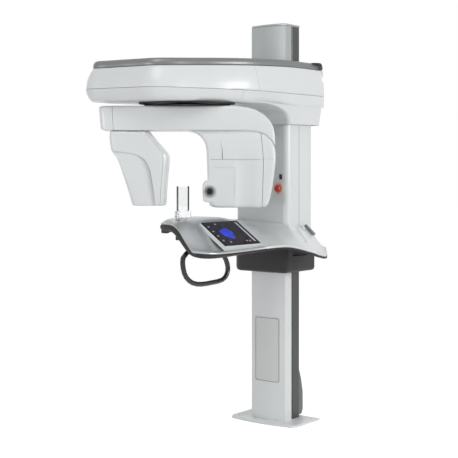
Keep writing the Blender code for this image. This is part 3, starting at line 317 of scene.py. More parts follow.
# overhead unit: two white shells, the metal rim that is its lid, and the collar round the column
overhead = {
    "belt": ((0.226, 0.186), (0.2255, 0.060), (0.214, -0.120), (0.207, -0.300), (0.186, -0.480), (0.124, -0.652),
             (0.044, -0.805), (-0.010, -0.915), (-0.070, -0.985), (-0.200, -1.024), (-0.350, -1.056),
             (-0.452, -1.072), (-0.518, -1.016), (-0.530, -0.880), (-0.472, -0.660), (-0.372, -0.430),
             (-0.278, -0.230), (-0.236, -0.060), (-0.232, 0.100), (-0.226, 0.186)),
    "corners": (0, 19),
    "steps": 7,
    "underside": 1.821, "beltHeight": 1.887, "top": 1.995, "rise": 0.042, "wall": 0.004,
    "grooveWide": 0.0016,
    "lidHeight": 0.042,
}


def overheadTop(p):
    return overhead["top"] + overhead["rise"] * min(1.0, max(0.0, (p.y + 1.08) / 0.95))


def overheadLean(p):
    return 0.016 + 0.020 * min(1.0, max(0.0, -p.y))


def buildOverhead():
    size = overhead
    outline = smoothOutline(size["belt"], size["steps"], size["corners"])
    half, belt = size["grooveWide"], size["beltHeight"]
    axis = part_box("hub_cover")
    hubX, hubY = (axis[0].x + axis[1].x) / 2, (axis[0].y + axis[1].y) / 2

    # lower shell: a pan, its upper edge turned in to make the groove at the belt
    def tuck(step):
        return lambda p: step * min(1.0, max(0.12, (-0.10 - p.y) / 0.30))

    bm = bmesh.new()
    steps = ((size["underside"], 0.040), (1.8222, 0.0345), (1.826, 0.029), (1.834, 0.0215), (1.846, 0.0145),
             (1.866, 0.0065), (belt - half - 0.0010, 0.0002), (belt - half, 0.0006), (belt - half + 0.0004, 0.0016))
    rings = [ringIn(bm, insetOutline(outline, tuck(step)), height) for height, step in steps[:7]]
    rings += [ringIn(bm, insetOutline(outline, step), height) for height, step in steps[7:]]
    bridgeRings(bm, rings)
    capRing(bm, rings[0])
    lower = walled(meshPiece("overheadPan", bm), size["wall"])
    cutWith(lower, drum("cutter", (hubX, hubY, 1.79), (hubX, hubY, 1.85), 0.121, 64))
    cutAway(lower, (-0.160, -0.125, 1.70), (0.160, 0.105, 1.845))
    cutAway(lower, (0.12, -0.5218, 1.80), (0.30, -0.5202, belt + 0.001), bend=None)
    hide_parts("overhead_lower_shell")
    setOut(lower, "overhead_lower_shell", sharp=28)

    # upper shell: leans in, more so at its free end
    bm = bmesh.new()
    shares = ((0.0, 0.0), (0.12, 0.025), (0.30, 0.095), (0.50, 0.24), (0.70, 0.47), (0.86, 0.72), (0.955, 0.90),
              (0.985, 0.975), (1.0, 1.04))
    rings = [ringIn(bm, insetOutline(outline, 0.0018), belt + 0.0002),
             ringIn(bm, insetOutline(outline, 0.0006), belt + half - 0.0006)]
    for up, lean in shares:
        base = belt + half
        ring = insetOutline(outline, lambda p: lean * overheadLean(p) + (0.0003 if up == 0 else 0.0))
        rings.append(ringIn(bm, ring, lambda p: base + up * (overheadTop(p) - base)))
    bridgeRings(bm, rings)
    upper = walled(meshPiece("overheadShell", bm), size["wall"])
    cutAway(upper, (0.150, -0.4212, belt + 0.0015), (0.30, -0.4196, 2.06),
            bend=Matrix.Rotation(radians(3.0), 3, "X"))
    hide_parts("overhead_upper_shell")
    setOut(upper, "overhead_upper_shell", sharp=28)

    # lid: a pressed metal rim that rolls over into a flat top
    bm = bmesh.new()
    top = size["lidHeight"]
    profile = ((0.0004, 0.0075), (0.0040, 0.0050), (0.0105, 0.0038), (0.0200, 0.0042), (0.0290, 0.0072),
               (0.0355, 0.0120), (0.0398, 0.0190), (0.0416, 0.0270), (top, 0.0360))
    rings = []
    for rise, extra in profile:
        ring = insetOutline(outline, lambda p: overheadLean(p) + extra)
        rings.append(ringIn(bm, ring, lambda p: overheadTop(p) + rise))
    for share in (0.985, 0.95):
        ring = insetOutline(outline, lambda p: overheadLean(p) + 0.0360)
        middle = Vector((-0.110, -0.420))
        ring = [middle + (p - middle) * share for p in ring]
        rings.append(ringIn(bm, ring, lambda p: overheadTop(p) + top))
    bridgeRings(bm, rings)
    capRing(bm, rings[-1])
    lid = walled(meshPiece("overheadRim", bm), 0.003)
    cutAway(lid, (-0.1345, -0.0860, 1.95), (0.1345, 0.1000, 2.12))
    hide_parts("overhead_lid")
    setOut(lid, "overhead_lid", sharp=40)
    print("overhead unit built")


def buildCollar():
    size = {"fronts": ((1.7160, -0.1395), (1.7170, -0.1405), (1.735, -0.1455), (1.752, -0.1570), (1.766, -0.1720),
                       (1.778, -0.1900), (1.788, -0.2130), (1.796, -0.2380), (1.803, -0.2670), (1.809, -0.3000),
                       (1.8145, -0.3400), (1.8185, -0.3800), (1.8207, -0.4150)),
            "left": -0.216, "right": 0.208, "rear": 0.180, "spread": 0.010, "round": 0.030, "wall": 0.004}
    bm = bmesh.new()
    rings = []
    low, high = size["fronts"][0][0], size["fronts"][-1][0]
    for height, front in size["fronts"]:
        grow = size["spread"] * (height - low) / (high - low)
        x0, x1 = size["left"] - grow, size["right"] + grow
        y0, y1, r = front, size["rear"] + grow, size["round"]
        outline = []
        for cx, cy, first in ((x1 - r, y0 + r, -90), (x1 - r, y1 - r, 0), (x0 + r, y1 - r, 90), (x0 + r, y0 + r, 180)):
            outline += [Vector((cx + r * cos(radians(first + 9 * i)), cy + r * sin(radians(first + 9 * i))))
                        for i in range(11)]
        rings.append(ringIn(bm, outline, height))
    bridgeRings(bm, rings)
    collar = walled(meshPiece("collarSkin", bm), size["wall"])
    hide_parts("column_collar")
    setOut(collar, "column_collar", sharp=50)
    print("collar built")


buildOverhead()
buildCollar()


# the arm and its two heads are shaped along the arm: s runs along it, v across it, and then they are turned
armFrame = {"x": -0.105, "y": -0.667, "angle": radians(38.0)}


def turnToArm(bm):
    bmesh.ops.rotate(bm, cent=(0, 0, 0), matrix=Matrix.Rotation(armFrame["angle"], 3, "Z"), verts=bm.verts)
    bmesh.ops.translate(bm, vec=(armFrame["x"], armFrame["y"], 0), verts=bm.verts)


def armSpot(s, v, z):
    a = armFrame["angle"]
    return (armFrame["x"] + s * cos(a) - v * sin(a), armFrame["y"] + s * sin(a) + v * cos(a), z)


def easeRows(rows, steps):
    # smooth in-between rows of numbers, which pass through the given ones
    full = []
    for i in range(len(rows) - 1):
        four = [rows[min(max(k, 0), len(rows) - 1)] for k in (i - 1, i, i + 1, i + 2)]
        for j in range(steps):
            t = j / steps
            full.append(tuple(0.5 * (2 * b + (c - a) * t + (2 * a - 5 * b + 4 * c - d) * t ** 2
                                     + (3 * b - a - 3 * c + d) * t ** 3) for a, b, c, d in zip(*four)))
    return full + [tuple(rows[-1])]


def cornered(x0, x1, y0, y1, radii, steps=8):
    # a rectangle with its own radius at each corner: right low, right high, left high, left low
    spots = []
    for (x, y, first), r in zip(((x1, y0, -90), (x1, y1, 0), (x0, y1, 90), (x0, y0, 180)), radii):
        cx, cy = (x - r if x == x1 else x + r), (y - r if y == y1 else y + r)
        spots += [(cx + r * cos(radians(first + 90 * i / steps)), cy + r * sin(radians(first + 90 * i / steps)))
                  for i in range(steps + 1)]
    return spots


def ringOf(bm, points):
    verts = [bm.verts.new(p) for p in points]
    return [bm.edges.new((a, b)) for a, b in zip(verts, verts[1:] + verts[:1])]


def sidePlate(name, outline, near=-0.2, far=0.2):
    # a flat outline in s and z, pushed across the arm
    bm = bmesh.new()
    face = bm.faces.new([bm.verts.new((s, near, z)) for s, z in outline])
    pushed = bmesh.ops.extrude_face_region(bm, geom=[face])
    moved = [item for item in pushed["geom"] if isinstance(item, bmesh.types.BMVert)]
    bmesh.ops.translate(bm, vec=(0, far - near, 0), verts=moved)
    bmesh.ops.triangulate(bm, faces=[f for f in bm.faces if len(f.verts) > 4])
    turnToArm(bm)
    return meshPiece(name, bm)


def copyOf(piece, name):
    twin = bpy.data.objects.new(name, piece.data.copy())
    bpy.context.scene.collection.objects.link(twin)
    return twin


armShape = {
    # s, underside, top, half width
    "sections": ((-0.458, 1.676, 1.7935, 0.074), (-0.4400, 1.6668, 1.7990, 0.0835), (-0.392, 1.666, 1.8000, 0.0872),
                 (-0.300, 1.666, 1.8000, 0.0960), (-0.150, 1.666, 1.8000, 0.1030), (0.000, 1.666, 1.8000, 0.1050),
                 (0.150, 1.666, 1.8000, 0.1030), (0.250, 1.666, 1.7990, 0.0995), (0.310, 1.6655, 1.7930, 0.0965),
                 (0.365, 1.6625, 1.7800, 0.0935), (0.410, 1.6500, 1.7560, 0.0905), (0.442, 1.6290, 1.7270, 0.0875),
                 (0.460, 1.6080, 1.6990, 0.0850), (0.470, 1.5910, 1.6700, 0.0815), (0.4755, 1.5800, 1.6320, 0.0760)),
    "round": 0.017, "seam": -0.392, "gap": 0.0016,
}


def buildArm():
    size = armShape
    bm = bmesh.new()
    rings = []
    for s, low, high, half in easeRows(size["sections"], 3):
        r = min(size["round"], (high - low) * 0.42)
        outline = cornered(-half, half, low, high, (r * 0.6, r, r, r * 0.6), 5)
        rings.append(ringOf(bm, [(s, v, z) for v, z in outline]))
    bridgeRings(bm, rings)
    capRing(bm, rings[0])
    capRing(bm, rings[-1])
    # the left end leans in towards its lower edge
    for vert in bm.verts:
        share = min(1.0, max(0.0, (-0.36 - vert.co.x) / 0.11))
        vert.co.x += share * (-0.0130 * (vert.co.z - 1.666) / 0.134)
    turnToArm(bm)
    whole = meshPiece("armSkin", bm)
    seam, gap = size["seam"], size["gap"] / 2
    lean = 0.010
    left = [(-0.7, 1.5), (seam + lean - gap, 1.5), (seam - lean - gap, 1.9), (-0.7, 1.9)]
    right = [(seam + lean + gap, 1.5), (0.7, 1.5), (0.7, 1.9), (seam - lean + gap, 1.9)]
    cap = cutWith(copyOf(whole, "armEndCap"), sidePlate("cutter", left), "INTERSECT")
    cutWith(whole, sidePlate("cutter", right), "INTERSECT")
    for piece, node in ((whole, "arm_shell"), (cap, "arm_end_cap")):
        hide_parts(node)
        setOut(piece, node, sharp=32)
        softEdges(piece, 0.0012, 2, 50)
    print("arm built")


sensorHead = {
    # height, s at the patient's far side, s at the near side, half width, inner front corner radius
    "sections": ((1.2630, -0.283, -0.122, 0.074, 0.030), (1.2660, -0.288, -0.1165, 0.0785, 0.034),
                 (1.2760, -0.293, -0.1130, 0.0815, 0.038), (1.330, -0.308, -0.1100, 0.0845, 0.042),
                 (1.4000, -0.330, -0.1050, 0.0875, 0.046), (1.470, -0.353, -0.0985, 0.0895, 0.048),
                 (1.5150, -0.371, -0.0955, 0.0900, 0.048), (1.5400, -0.388, -0.0990, 0.0900, 0.048),
                 (1.5580, -0.401, -0.1130, 0.0900, 0.048), (1.5900, -0.4080, -0.1400, 0.0895, 0.046),
                 (1.6300, -0.4130, -0.1740, 0.0880, 0.044), (1.6540, -0.4120, -0.1940, 0.0860, 0.042),
                 (1.6615, -0.4080, -0.2010, 0.0830, 0.040)),
    "corner": 0.022, "wall": 0.003,
    "seam": ((-0.1440, 1.20), (-0.1380, 1.330), (-0.1265, 1.470), (-0.1240, 1.515), (-0.1290, 1.545),
             (-0.1640, 1.590), (-0.1980, 1.630), (-0.2260, 1.663), (-0.2560, 1.70)),
    "gap": 0.0014,
    # the step: its arch over the lower face
    "arch": ((-0.4400, 1.5650), (-0.4020, 1.5600), (-0.3590, 1.5540), (-0.3200, 1.5490), (-0.2850, 1.5425),
             (-0.2550, 1.5325), (-0.2300, 1.5170), (-0.2120, 1.4960), (-0.1990, 1.4700), (-0.1900, 1.4400),
             (-0.1830, 1.4000), (-0.1760, 1.3500), (-0.1690, 1.3000), (-0.1640, 1.2400)),
    "stepDeep": 0.020, "stepBulge": 0.014,
}


def buildSensorHead():
    size = sensorHead
    bm = bmesh.new()
    rings = []
    for z, s0, s1, half, inner in easeRows(size["sections"], 3):
        r = size["corner"]
        outline = cornered(s0, s1, -half, half, (inner, inner * 0.7, r, r), 7)
        rings.append(ringOf(bm, [(s, v, z) for s, v in outline]))
    bridgeRings(bm, rings)
    capRing(bm, rings[0])
    turnToArm(bm)
    skin = walled(meshPiece("sensorHead", bm), size["wall"])

    # what lies inside the arch is stepped back, and bulges a little
    def stepSurface(s):
        t = min(1.0, max(0.0, (s + 0.40) / 0.235))
        return -0.090 + size["stepDeep"] - size["stepBulge"] * sin(pi * min(1.0, t * 0.92 + 0.12)) ** 0.8

    arch = easeRows(size["arch"], 3)
    bm = bmesh.new()
    rows = []
    for v in (0, 1):
        rows.append([bm.verts.new((s, -0.16 if v == 0 else stepSurface(s), z)) for s, z in arch])
    rows.append([bm.verts.new((s, stepSurface(s), 1.22)) for s, z in arch])
    rows.append([bm.verts.new((s, -0.16, 1.22)) for s, z in arch])
    for near, far in zip(rows, rows[1:] + rows[:1]):
        for a, b, c, d in zip(near, near[1:], far[1:], far):
            bm.faces.new((a, b, c, d))
    bm.faces.new([row[0] for row in rows])
    bm.faces.new([row[-1] for row in rows][::-1])
    turnToArm(bm)
    hollow = meshPiece("cutter", bm)

    # the same step as a skin, so that the head stays closed behind it
    bm = bmesh.new()
    columns = []
    for s, z in arch:
        columns.append([bm.verts.new((s, stepSurface(s), 1.2655 + (z + 0.004 - 1.2655) * k / 8)) for k in range(9)])
    for near, far in zip(columns, columns[1:]):
        for a, b, c, d in zip(near, near[1:], far[1:], far):
            bm.faces.new((a, b, c, d))
    turnToArm(bm)
    inlay = meshPiece("sensorInlay", bm)
    thick = inlay.modifiers.new("wall", "SOLIDIFY")
    thick.thickness = 0.003
    thick.offset = 0.0
    dropTo(inlay)
    bm = bmesh.new()
    rings = []
    for z, s0, s1, half, inner in easeRows(size["sections"], 3):
        outline = cornered(s0 + 0.0002, s1 - 0.0002, -half + 0.0002, half - 0.0002,
                           (inner, inner * 0.7, size["corner"], size["corner"]), 7)
        rings.append(ringOf(bm, [(s, v, z) for s, v in outline]))
    bridgeRings(bm, rings)
    capRing(bm, rings[0])
    capRing(bm, rings[-1])
    turnToArm(bm)
    cutWith(inlay, meshPiece("cutter", bm), "INTERSECT")
    cutWith(skin, hollow)

    seam, gap = size["seam"], size["gap"] / 2
    near = [(s + gap, z) for s, z in seam]
    right = near + [(0.1, 1.70), (0.1, 1.20)]
    front = cutWith(copyOf(skin, "sensorFront"), sidePlate("cutter", right), "INTERSECT")
    left = [(s - gap, z) for s, z in seam] + [(-0.7, 1.70), (-0.7, 1.20)]
    cutWith(skin, sidePlate("cutter", left), "INTERSECT")
    for piece, node in ((skin, "sensor_head_cover"), (front, "sensor_head_front"), (inlay, "sensor_head_cover")):
        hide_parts(node)
        setOut(piece, node, sharp=32)
    print("sensor head built")


tubeHead = {
    # height, s at the patient's side, s at the outer side, half width
    "sections": ((1.2540, 0.165, 0.402, 0.0850), (1.2570, 0.142, 0.420, 0.0900), (1.2640, 0.1290, 0.4310, 0.0940),
                 (1.2780, 0.1210, 0.4400, 0.0970), (1.3300, 0.1160, 0.4540, 0.0995), (1.4000, 0.1130, 0.4660, 0.1000),
                 (1.4600, 0.1115, 0.4740, 0.1000), (1.5200, 0.1095, 0.4790, 0.0990), (1.5700, 0.1060, 0.4755, 0.0960),
                 (1.6000, 0.0980, 0.4640, 0.0925), (1.6250, 0.0830, 0.4480, 0.0885), (1.6450, 0.0620, 0.4260, 0.0845),
                 (1.6575, 0.0370, 0.4000, 0.0815), (1.6652, 0.0050, 0.3700, 0.0790)),
    "corner": 0.020, "wall": 0.0065,
    "dip": (0.262, 0.372, 0.010),
    "rearSeam": ((0.4030, 1.20), (0.4080, 1.34), (0.4130, 1.50), (0.4050, 1.60), (0.3950, 1.70)),
    "levelSeam": 1.5100, "gap": 0.0020, "groove": 0.0034,
    "panel": (0.144, 0.262, 1.268, 1.470), "panelDeep": 0.0034,
}


def buildTubeHead():
    size = tubeHead
    bm = bmesh.new()
    rings = []
    dipStart, dipEnd, dipDeep = size["dip"]
    for z, s0, s1, half in easeRows(size["sections"], 3):
        r = size["corner"]
        corner = cornered(s0, s1, -half, half, (r, r, r * 1.3, r * 1.3), 6)
        # extra points on the outer side, for the shallow upright dip
        front = [(s0 + r * 1.3 + (s1 - r - s0 - r * 1.3) * k / 22, -half) for k in range(1, 22)]
        depth = dipDeep * min(1.0, max(0.0, (1.56 - z) / 0.10))
        shaped = []
        for s, v in front:
            t = (s - dipStart) / (dipEnd - dipStart)
            hollow = depth * sin(pi * min(1.0, max(0.0, t)) ** 0.75) if 0 < t < 1 else 0.0
            shaped.append((s, v + hollow))
        outline = corner + shaped
        rings.append(ringOf(bm, [(s, v, z) for s, v in outline]))
    bridgeRings(bm, rings)
    capRing(bm, rings[0])
    turnToArm(bm)
    skin = walled(meshPiece("tubeHead", bm), size["wall"])

    # the small housing that holds the camera, at the lower inner corner
    bm = bmesh.new()
    rings = []
    for z, s0 in easeRows(((1.2830, 0.112), (1.2860, 0.098), (1.2950, 0.0905), (1.3200, 0.0870), (1.3600, 0.0862),
                           (1.3850, 0.0900), (1.3970, 0.0990), (1.4020, 0.1130)), 2):
        outline = cornered(s0, 0.150, -0.1004, -0.040, (0.004, 0.004, 0.012, 0.012), 5)
        rings.append(ringOf(bm, [(s, v, z) for s, v in outline]))
    bridgeRings(bm, rings)
    capRing(bm, rings[0])
    capRing(bm, rings[-1])
    turnToArm(bm)
    cutWith(skin, meshPiece("cutter", bm), "UNION")

    # shallow panel, level seam and short upright seam
    s0, s1, z0, z1 = size["panel"]
    deep = size["panelDeep"]
    skin = cutWith(skin, roundedSlab("cutter", s0, s1, z0 - 0.05, z1, -0.1006, -0.1000 + deep, 0.006))
    skin = cutWith(skin, sidePlate("cutter", ((0.0, size["levelSeam"]), (0.60, size["levelSeam"] - 0.0004),
                                              (0.60, size["levelSeam"] + size["groove"]),
                                              (0.0, size["levelSeam"] + size["groove"])), -0.2, -0.0960))
    upright = ((0.1755, 1.640), (0.1810, 1.620), (0.1880, 1.590), (0.1920, 1.560), (0.1935, 1.5105))
    band = [(s - 0.0014, z) for s, z in upright] + [(s + 0.0014, z) for s, z in upright[::-1]]
    skin = cutWith(skin, sidePlate("cutter", band, -0.2, -0.0905))

    seam, gap = size["rearSeam"], size["gap"] / 2
    left = [(s - gap, z) for s, z in seam] + [(-0.7, 1.70), (-0.7, 1.20)]
    right = [(s + gap, z) for s, z in seam] + [(0.7, 1.70), (0.7, 1.20)]
    rear = cutWith(copyOf(skin, "tubeRear"), sidePlate("cutter", right), "INTERSECT")
    cutWith(skin, sidePlate("cutter", left), "INTERSECT")
    z = size["levelSeam"]
    # a grey strip laid in the level groove, darker than the white shell: painted shade of the groove
    line = roundedSlab("tubeSeamShade", 0.128, 0.396, z + 0.0003, z + size["groove"] - 0.0003, -0.0976, -0.0940, 0.001)
    setOut(line, "tube_head_cover", material=ringGrey)
    for piece, node in ((skin, "tube_head_cover"), (rear, "tube_head_rear_cover")):
        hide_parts(node)
        setOut(piece, node, sharp=32)
    print("tube head built")


def roundedSlab(name, s0, s1, z0, z1, near, far, r):
    outline = cornered(s0, s1, z0, z1, (r, r, r, r), 5)
    return sidePlate(name, outline, near, far)


cameraEye = {"s": 0.1255, "v": -0.1004, "z": 1.3405}


def buildCamera():
    # the positioning camera: a pale ring, a grey bezel and a dark lens, facing out of the tube head's side
    size = cameraEye
    a = armFrame["angle"]
    at, out = armSpot(size["s"], size["v"], size["z"]), (sin(a), -cos(a), 0)
    ring = turnedPiece("cameraRing", ((0.010, -0.006), (0.0345, -0.006), (0.0352, 0.0002), (0.0340, 0.0026),
                                      (0.0310, 0.0040), (0.0270, 0.0034), (0.0255, 0.0016), (0.010, 0.0014)),
                       at, out, 72)
    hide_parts("camera_ring")
    setOut(ring, "camera_ring", material=ringGrey)
    bezel = turnedPiece("cameraBezel", ((0.006, 0.0014), (0.0250, 0.0014), (0.0254, 0.0030), (0.0238, 0.0050),
                                        (0.0195, 0.0054), (0.0165, 0.0030), (0.006, 0.0024)), at, out, 72)
    setOut(bezel, "camera_ring", material=finishes["grey_trim"])
    lens = turnedPiece("cameraLens", ((0.002, 0.0020), (0.0162, 0.0020), (0.0162, 0.0034), (0.0140, 0.0052),
                                      (0.0100, 0.0066), (0.0050, 0.0074), (0.0010, 0.0076)), at, out, 64)
    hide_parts("camera_lens")
    setOut(lens, "camera_lens", sharp=50)
    print("camera built")


buildArm()
buildSensorHead()
buildTubeHead()


# a closed box with rounded upright corners, softened top and bottom
def roundBox(name, low, high, radii, soft=0.004, steps=8):
    bm = bmesh.new()
    rings = []
    for lift, shrink in ((0, 1.0), (0.3, 0.3), (1.0, 0.0)):
        outline = cornered(low[0] + shrink * soft, high[0] - shrink * soft, low[1] + shrink * soft,
                           high[1] - shrink * soft, radii, steps)
        rings.append(ringOf(bm, [(x, y, low[2] + lift * soft) for x, y in outline]))
    for lift, shrink in ((1.0, 0.0), (0.3, 0.3), (0, 1.0)):
        outline = cornered(low[0] + shrink * soft, high[0] - shrink * soft, low[1] + shrink * soft,
                           high[1] - shrink * soft, radii, steps)
        rings.append(ringOf(bm, [(x, y, high[2] - lift * soft) for x, y in outline]))
    bridgeRings(bm, rings)
    capRing(bm, rings[0])
    capRing(bm, rings[-1])
    return meshPiece(name, bm)


# turned parts: a profile of radius and height, spun about an axis and pointed where it belongs
def turnedPiece(name, profile, at, pointing=(0, 0, 1), sides=48):
    bm = bmesh.new()
    rings = [ringOf(bm, [(r * cos(2 * pi * k / sides), r * sin(2 * pi * k / sides), h) for k in range(sides)])
             for r, h in profile]
    bridgeRings(bm, rings)
    capRing(bm, rings[0])
    capRing(bm, rings[-1])
    turn = Vector((0, 0, 1)).rotation_difference(Vector(pointing)).to_matrix()
    bmesh.ops.rotate(bm, cent=(0, 0, 0), matrix=turn, verts=bm.verts)
    bmesh.ops.translate(bm, vec=at, verts=bm.verts)
    return meshPiece(name, bm)


def ovalPlate(name, along, across, low, high, soft=0.003, steps=96):
    # an oval plate turned with the arm at rest
    bm = bmesh.new()
    rings = []
    for z, less in ((low, soft), (low + soft, 0.0), (high, 0.0)):
        turns = [2 * pi * k / steps for k in range(steps)]
        rings.append(ringOf(bm, [((along - less) * cos(turn), (across - less) * sin(turn), z) for turn in turns]))
    bridgeRings(bm, rings)
    capRing(bm, rings[0])
    capRing(bm, rings[-1])
    turnToArm(bm)
    return meshPiece(name, bm)


def buildHub():
    plate = ovalPlate("hubPlate", 0.262, 0.165, 1.8115, 1.8208)
    setOut(plate, "hub_cover", body="carriage", material=finishes["dark_plastic"])
    ring = ovalPlate("hubRing", 0.235, 0.150, 1.8052, 1.8116)
    setOut(ring, "hub_cover", body="carriage", material=finishes["black_rubber"])
    print("hub built")


controls = {"x": 0.126, "z": 1.351, "face": -0.1300, "switchX": 0.138, "switchZ": 1.417}


def buildControls():
    size = controls
    out = (0, -1, 0)
    ring = turnedPiece("stopRing", ((0.0150, 0.0002), (0.0310, 0.0002), (0.0322, 0.0020), (0.0312, 0.0048),
                                    (0.0280, 0.0060), (0.0215, 0.0052), (0.0150, 0.0030)),
                       (size["x"], size["face"], size["z"]), out, 64)
    setOut(ring, "emergency_stop", body="carriage", material=ringPink)
    knob = turnedPiece("stopKnob", ((0.0108, -0.012), (0.0108, 0.0100), (0.0125, 0.0118), (0.0188, 0.0132),
                                    (0.0198, 0.0155), (0.0198, 0.0190), (0.0186, 0.0225), (0.0150, 0.0256),
                                    (0.0100, 0.0270), (0.0030, 0.0275)),
                       (size["x"], size["face"], size["z"]), out, 64)
    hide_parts("emergency_stop")
    setOut(knob, "emergency_stop", sharp=45)
    x, y, z = size["switchX"], size["face"], size["switchZ"]
    outer = sideways("switchFrame", 0.0092, 0.0142, 0.0020, (x, y, z))
    inner = sideways("cutter", 0.0068, 0.0118, 0.0400, (x, y + 0.02, z))
    cutWith(outer, inner)
    setOut(outer, "power_switch", body="carriage", material=finishes["dark_plastic"])
    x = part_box("carriage_rear_cover_right")[1].x
    # a thin dark strip down the rear cover's edge: painted shade of the seam gap
    seam = roundBox("carriageSeamShade", (x - 0.0004, -0.0175, 1.052), (x + 0.0003, -0.0150, 1.714),
                    (0.0001,) * 4, 0.0001, 1)
    setOut(seam, "carriage_frame", body="carriage", material=seamShadePaint)
    print("controls built")


def sideways(name, halfWide, halfHigh, deep, at):
    # a small slab on the carriage's front, pushed out by its depth
    bm = bmesh.new()
    outline = cornered(-halfWide, halfWide, -halfHigh, halfHigh, (0.002,) * 4, 4)
    rings = [ringOf(bm, [(at[0] + x, at[1] - y, at[2] + z) for x, z in outline]) for y in (0.0, deep)]
    bridgeRings(bm, rings)
    capRing(bm, rings[0])
    capRing(bm, rings[-1])
    return meshPiece(name, bm)


screen = {"centre": (0.108, -0.555, 1.112), "wide": 0.205, "long": 0.315, "thick": 0.014, "tilt": 35.0,
          "bezel": 0.009}


def screenSlab(name, outline, low, high):
    # an outline in the panel's own x and y, lifted off its glass by a little
    bm = bmesh.new()
    rings = [ringOf(bm, [(x, y, z) for x, y in outline]) for z in (low, high)]
    bridgeRings(bm, rings)
    capRing(bm, rings[0])
    capRing(bm, rings[-1])
    bmesh.ops.rotate(bm, cent=(0, 0, 0), matrix=Matrix.Rotation(radians(screen["tilt"]), 3, "Y"), verts=bm.verts)
    bmesh.ops.translate(bm, vec=screen["centre"], verts=bm.verts)
    return meshPiece(name, bm)


def litFinish(name, light, dark, strength, tone):
    material = nodeFinish(name, light, dark, (0.10, 0.16), tone=tone, relief=0.0, specular=0.3)
    tree = material.node_tree
    shader = tree.nodes["Principled BSDF"]
    blend = next(node for node in tree.nodes if node.bl_idname == "ShaderNodeMix")
    tree.links.new(blend.outputs["Result"], shader.inputs["Emission Color"])
    shader.inputs["Emission Strength"].default_value = strength
    return material


def buildScreen():
    size = screen
    x, y, top, b = size["wide"] / 2, size["long"] / 2, size["thick"] / 2, size["bezel"]
    face = litFinish("screenDark", (0.026, 0.022, 0.034), (0.014, 0.013, 0.018), 0.15, 30)
    blue = litFinish("screenBlue", (0.035, 0.07, 0.80), (0.012, 0.016, 0.22), 0.45, 42)
    pale = litFinish("screenPale", (0.50, 0.53, 0.58), (0.42, 0.45, 0.50), 0.30, 20)
    grey = litFinish("screenMarks", (0.34, 0.33, 0.36), (0.22, 0.22, 0.24), 0.4, 20)
    lit = screenSlab("screenFace", cornered(b - x, x - b, b - y, y - b, (0.002,) * 4, 3), top + 0.0001, top + 0.0004)
    setOut(lit, "display_panel", material=face)
    seat = screenSlab("screenSeat", cornered(-x - 0.003, x + 0.014, -y - 0.003, y + 0.004, (0.006,) * 4, 4),
                      -top - 0.010, top - 0.0035)
    softEdges(setOut(seat, "console_deck", material=finishes["white_plastic"]), 0.0015, 3, 50)
    # a plain rounded lump, as a scan preview would show
    lump = [((0.046 + 0.004 * sin(3 * a + 0.6) + 0.003 * sin(5 * a)) * cos(a) * 0.92 + 0.004,
             (0.046 + 0.004 * sin(3 * a + 0.6) + 0.003 * sin(5 * a)) * sin(a) * 1.05 - 0.036)
            for a in (2 * pi * k / 72 for k in range(72))]
    setOut(screenSlab("screenFigure", lump, top + 0.0004, top + 0.0006), "display_panel", material=blue)
    strip = cornered(-0.086, 0.084, 0.118, 0.132, (0.002,) * 4, 3)
    setOut(screenSlab("screenStrip", strip, top + 0.0004, top + 0.0006), "display_panel", material=pale)
    for i, (u, v) in enumerate(((-0.060, -0.132), (-0.020, -0.132), (0.020, -0.132), (0.060, -0.128),
                                (0.076, -0.080), (0.076, 0.060), (0.078, 0.085), (-0.078, -0.060))):
        dot = cornered(u - 0.005, u + 0.005, v - 0.007, v + 0.007, (0.002,) * 4, 3)
        setOut(screenSlab(f"screenMark{i + 1}", dot, top + 0.0004, top + 0.0006), "display_panel", material=grey)
    print("screen built")


def filleted(points, radii, steps=8):
    # a closed outline with every corner rounded
    full = []
    for k, (point, r) in enumerate(zip(points, radii)):
        here = Vector(point)
        before, after = Vector(points[k - 1]) - here, Vector(points[(k + 1) % len(points)]) - here
        start, end = here + before.normalized() * r, here + after.normalized() * r
        full += [start * (1 - t) ** 2 + here * 2 * t * (1 - t) + end * t * t
                 for t in (i / steps for i in range(steps + 1))]
    return full


def buildControlBox():
    low, high, soft = 0.8752, 1.0480, 0.018
    outline = filleted(((0.215, -0.195), (0.215, 0.112), (-0.200, 0.112), (-0.205, -0.098), (-0.128, -0.195)),
                       (0.040, 0.020, 0.020, 0.020, 0.030))
    bm = bmesh.new()
    steps = ((low, 1.0), (low + 0.15 * soft, 0.55), (low + 0.45 * soft, 0.20), (low + soft, 0.0),
             (high - 0.004, 0.0), (high, 0.3))
    rings = [ringIn(bm, insetOutline(outline, soft * less), z) for z, less in steps]
    bridgeRings(bm, rings)
    capRing(bm, rings[0])
    capRing(bm, rings[-1])
    body = meshPiece("controlBox", bm)
    cutWith(body, roundBox("cutter", (-0.1350, -0.0795, 0.80), (0.1350, 0.200, 1.10), (0.004,) * 4, 0.002, 3))
    cutWith(body, roundBox("cutter", (0.178, -0.120, 0.968), (0.30, 0.088, 1.020), (0.012,) * 4, 0.004, 4))
    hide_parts("control_box")
    setOut(body, "control_box", sharp=40)
    supply = roundBox("powerPack", (-0.110, -0.184, 0.8830), (-0.020, -0.152, 0.960), (0.003,) * 4, 0.002, 3)
    hollow = roundBox("cutter", (-0.114, -0.185, 0.8825), (0.203, -0.102, 1.060), (0.004,) * 4, 0.001, 3)
    cutWith(body, hollow)
    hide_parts("power_supply")
    setOut(supply, "power_supply")
    print("control box built")


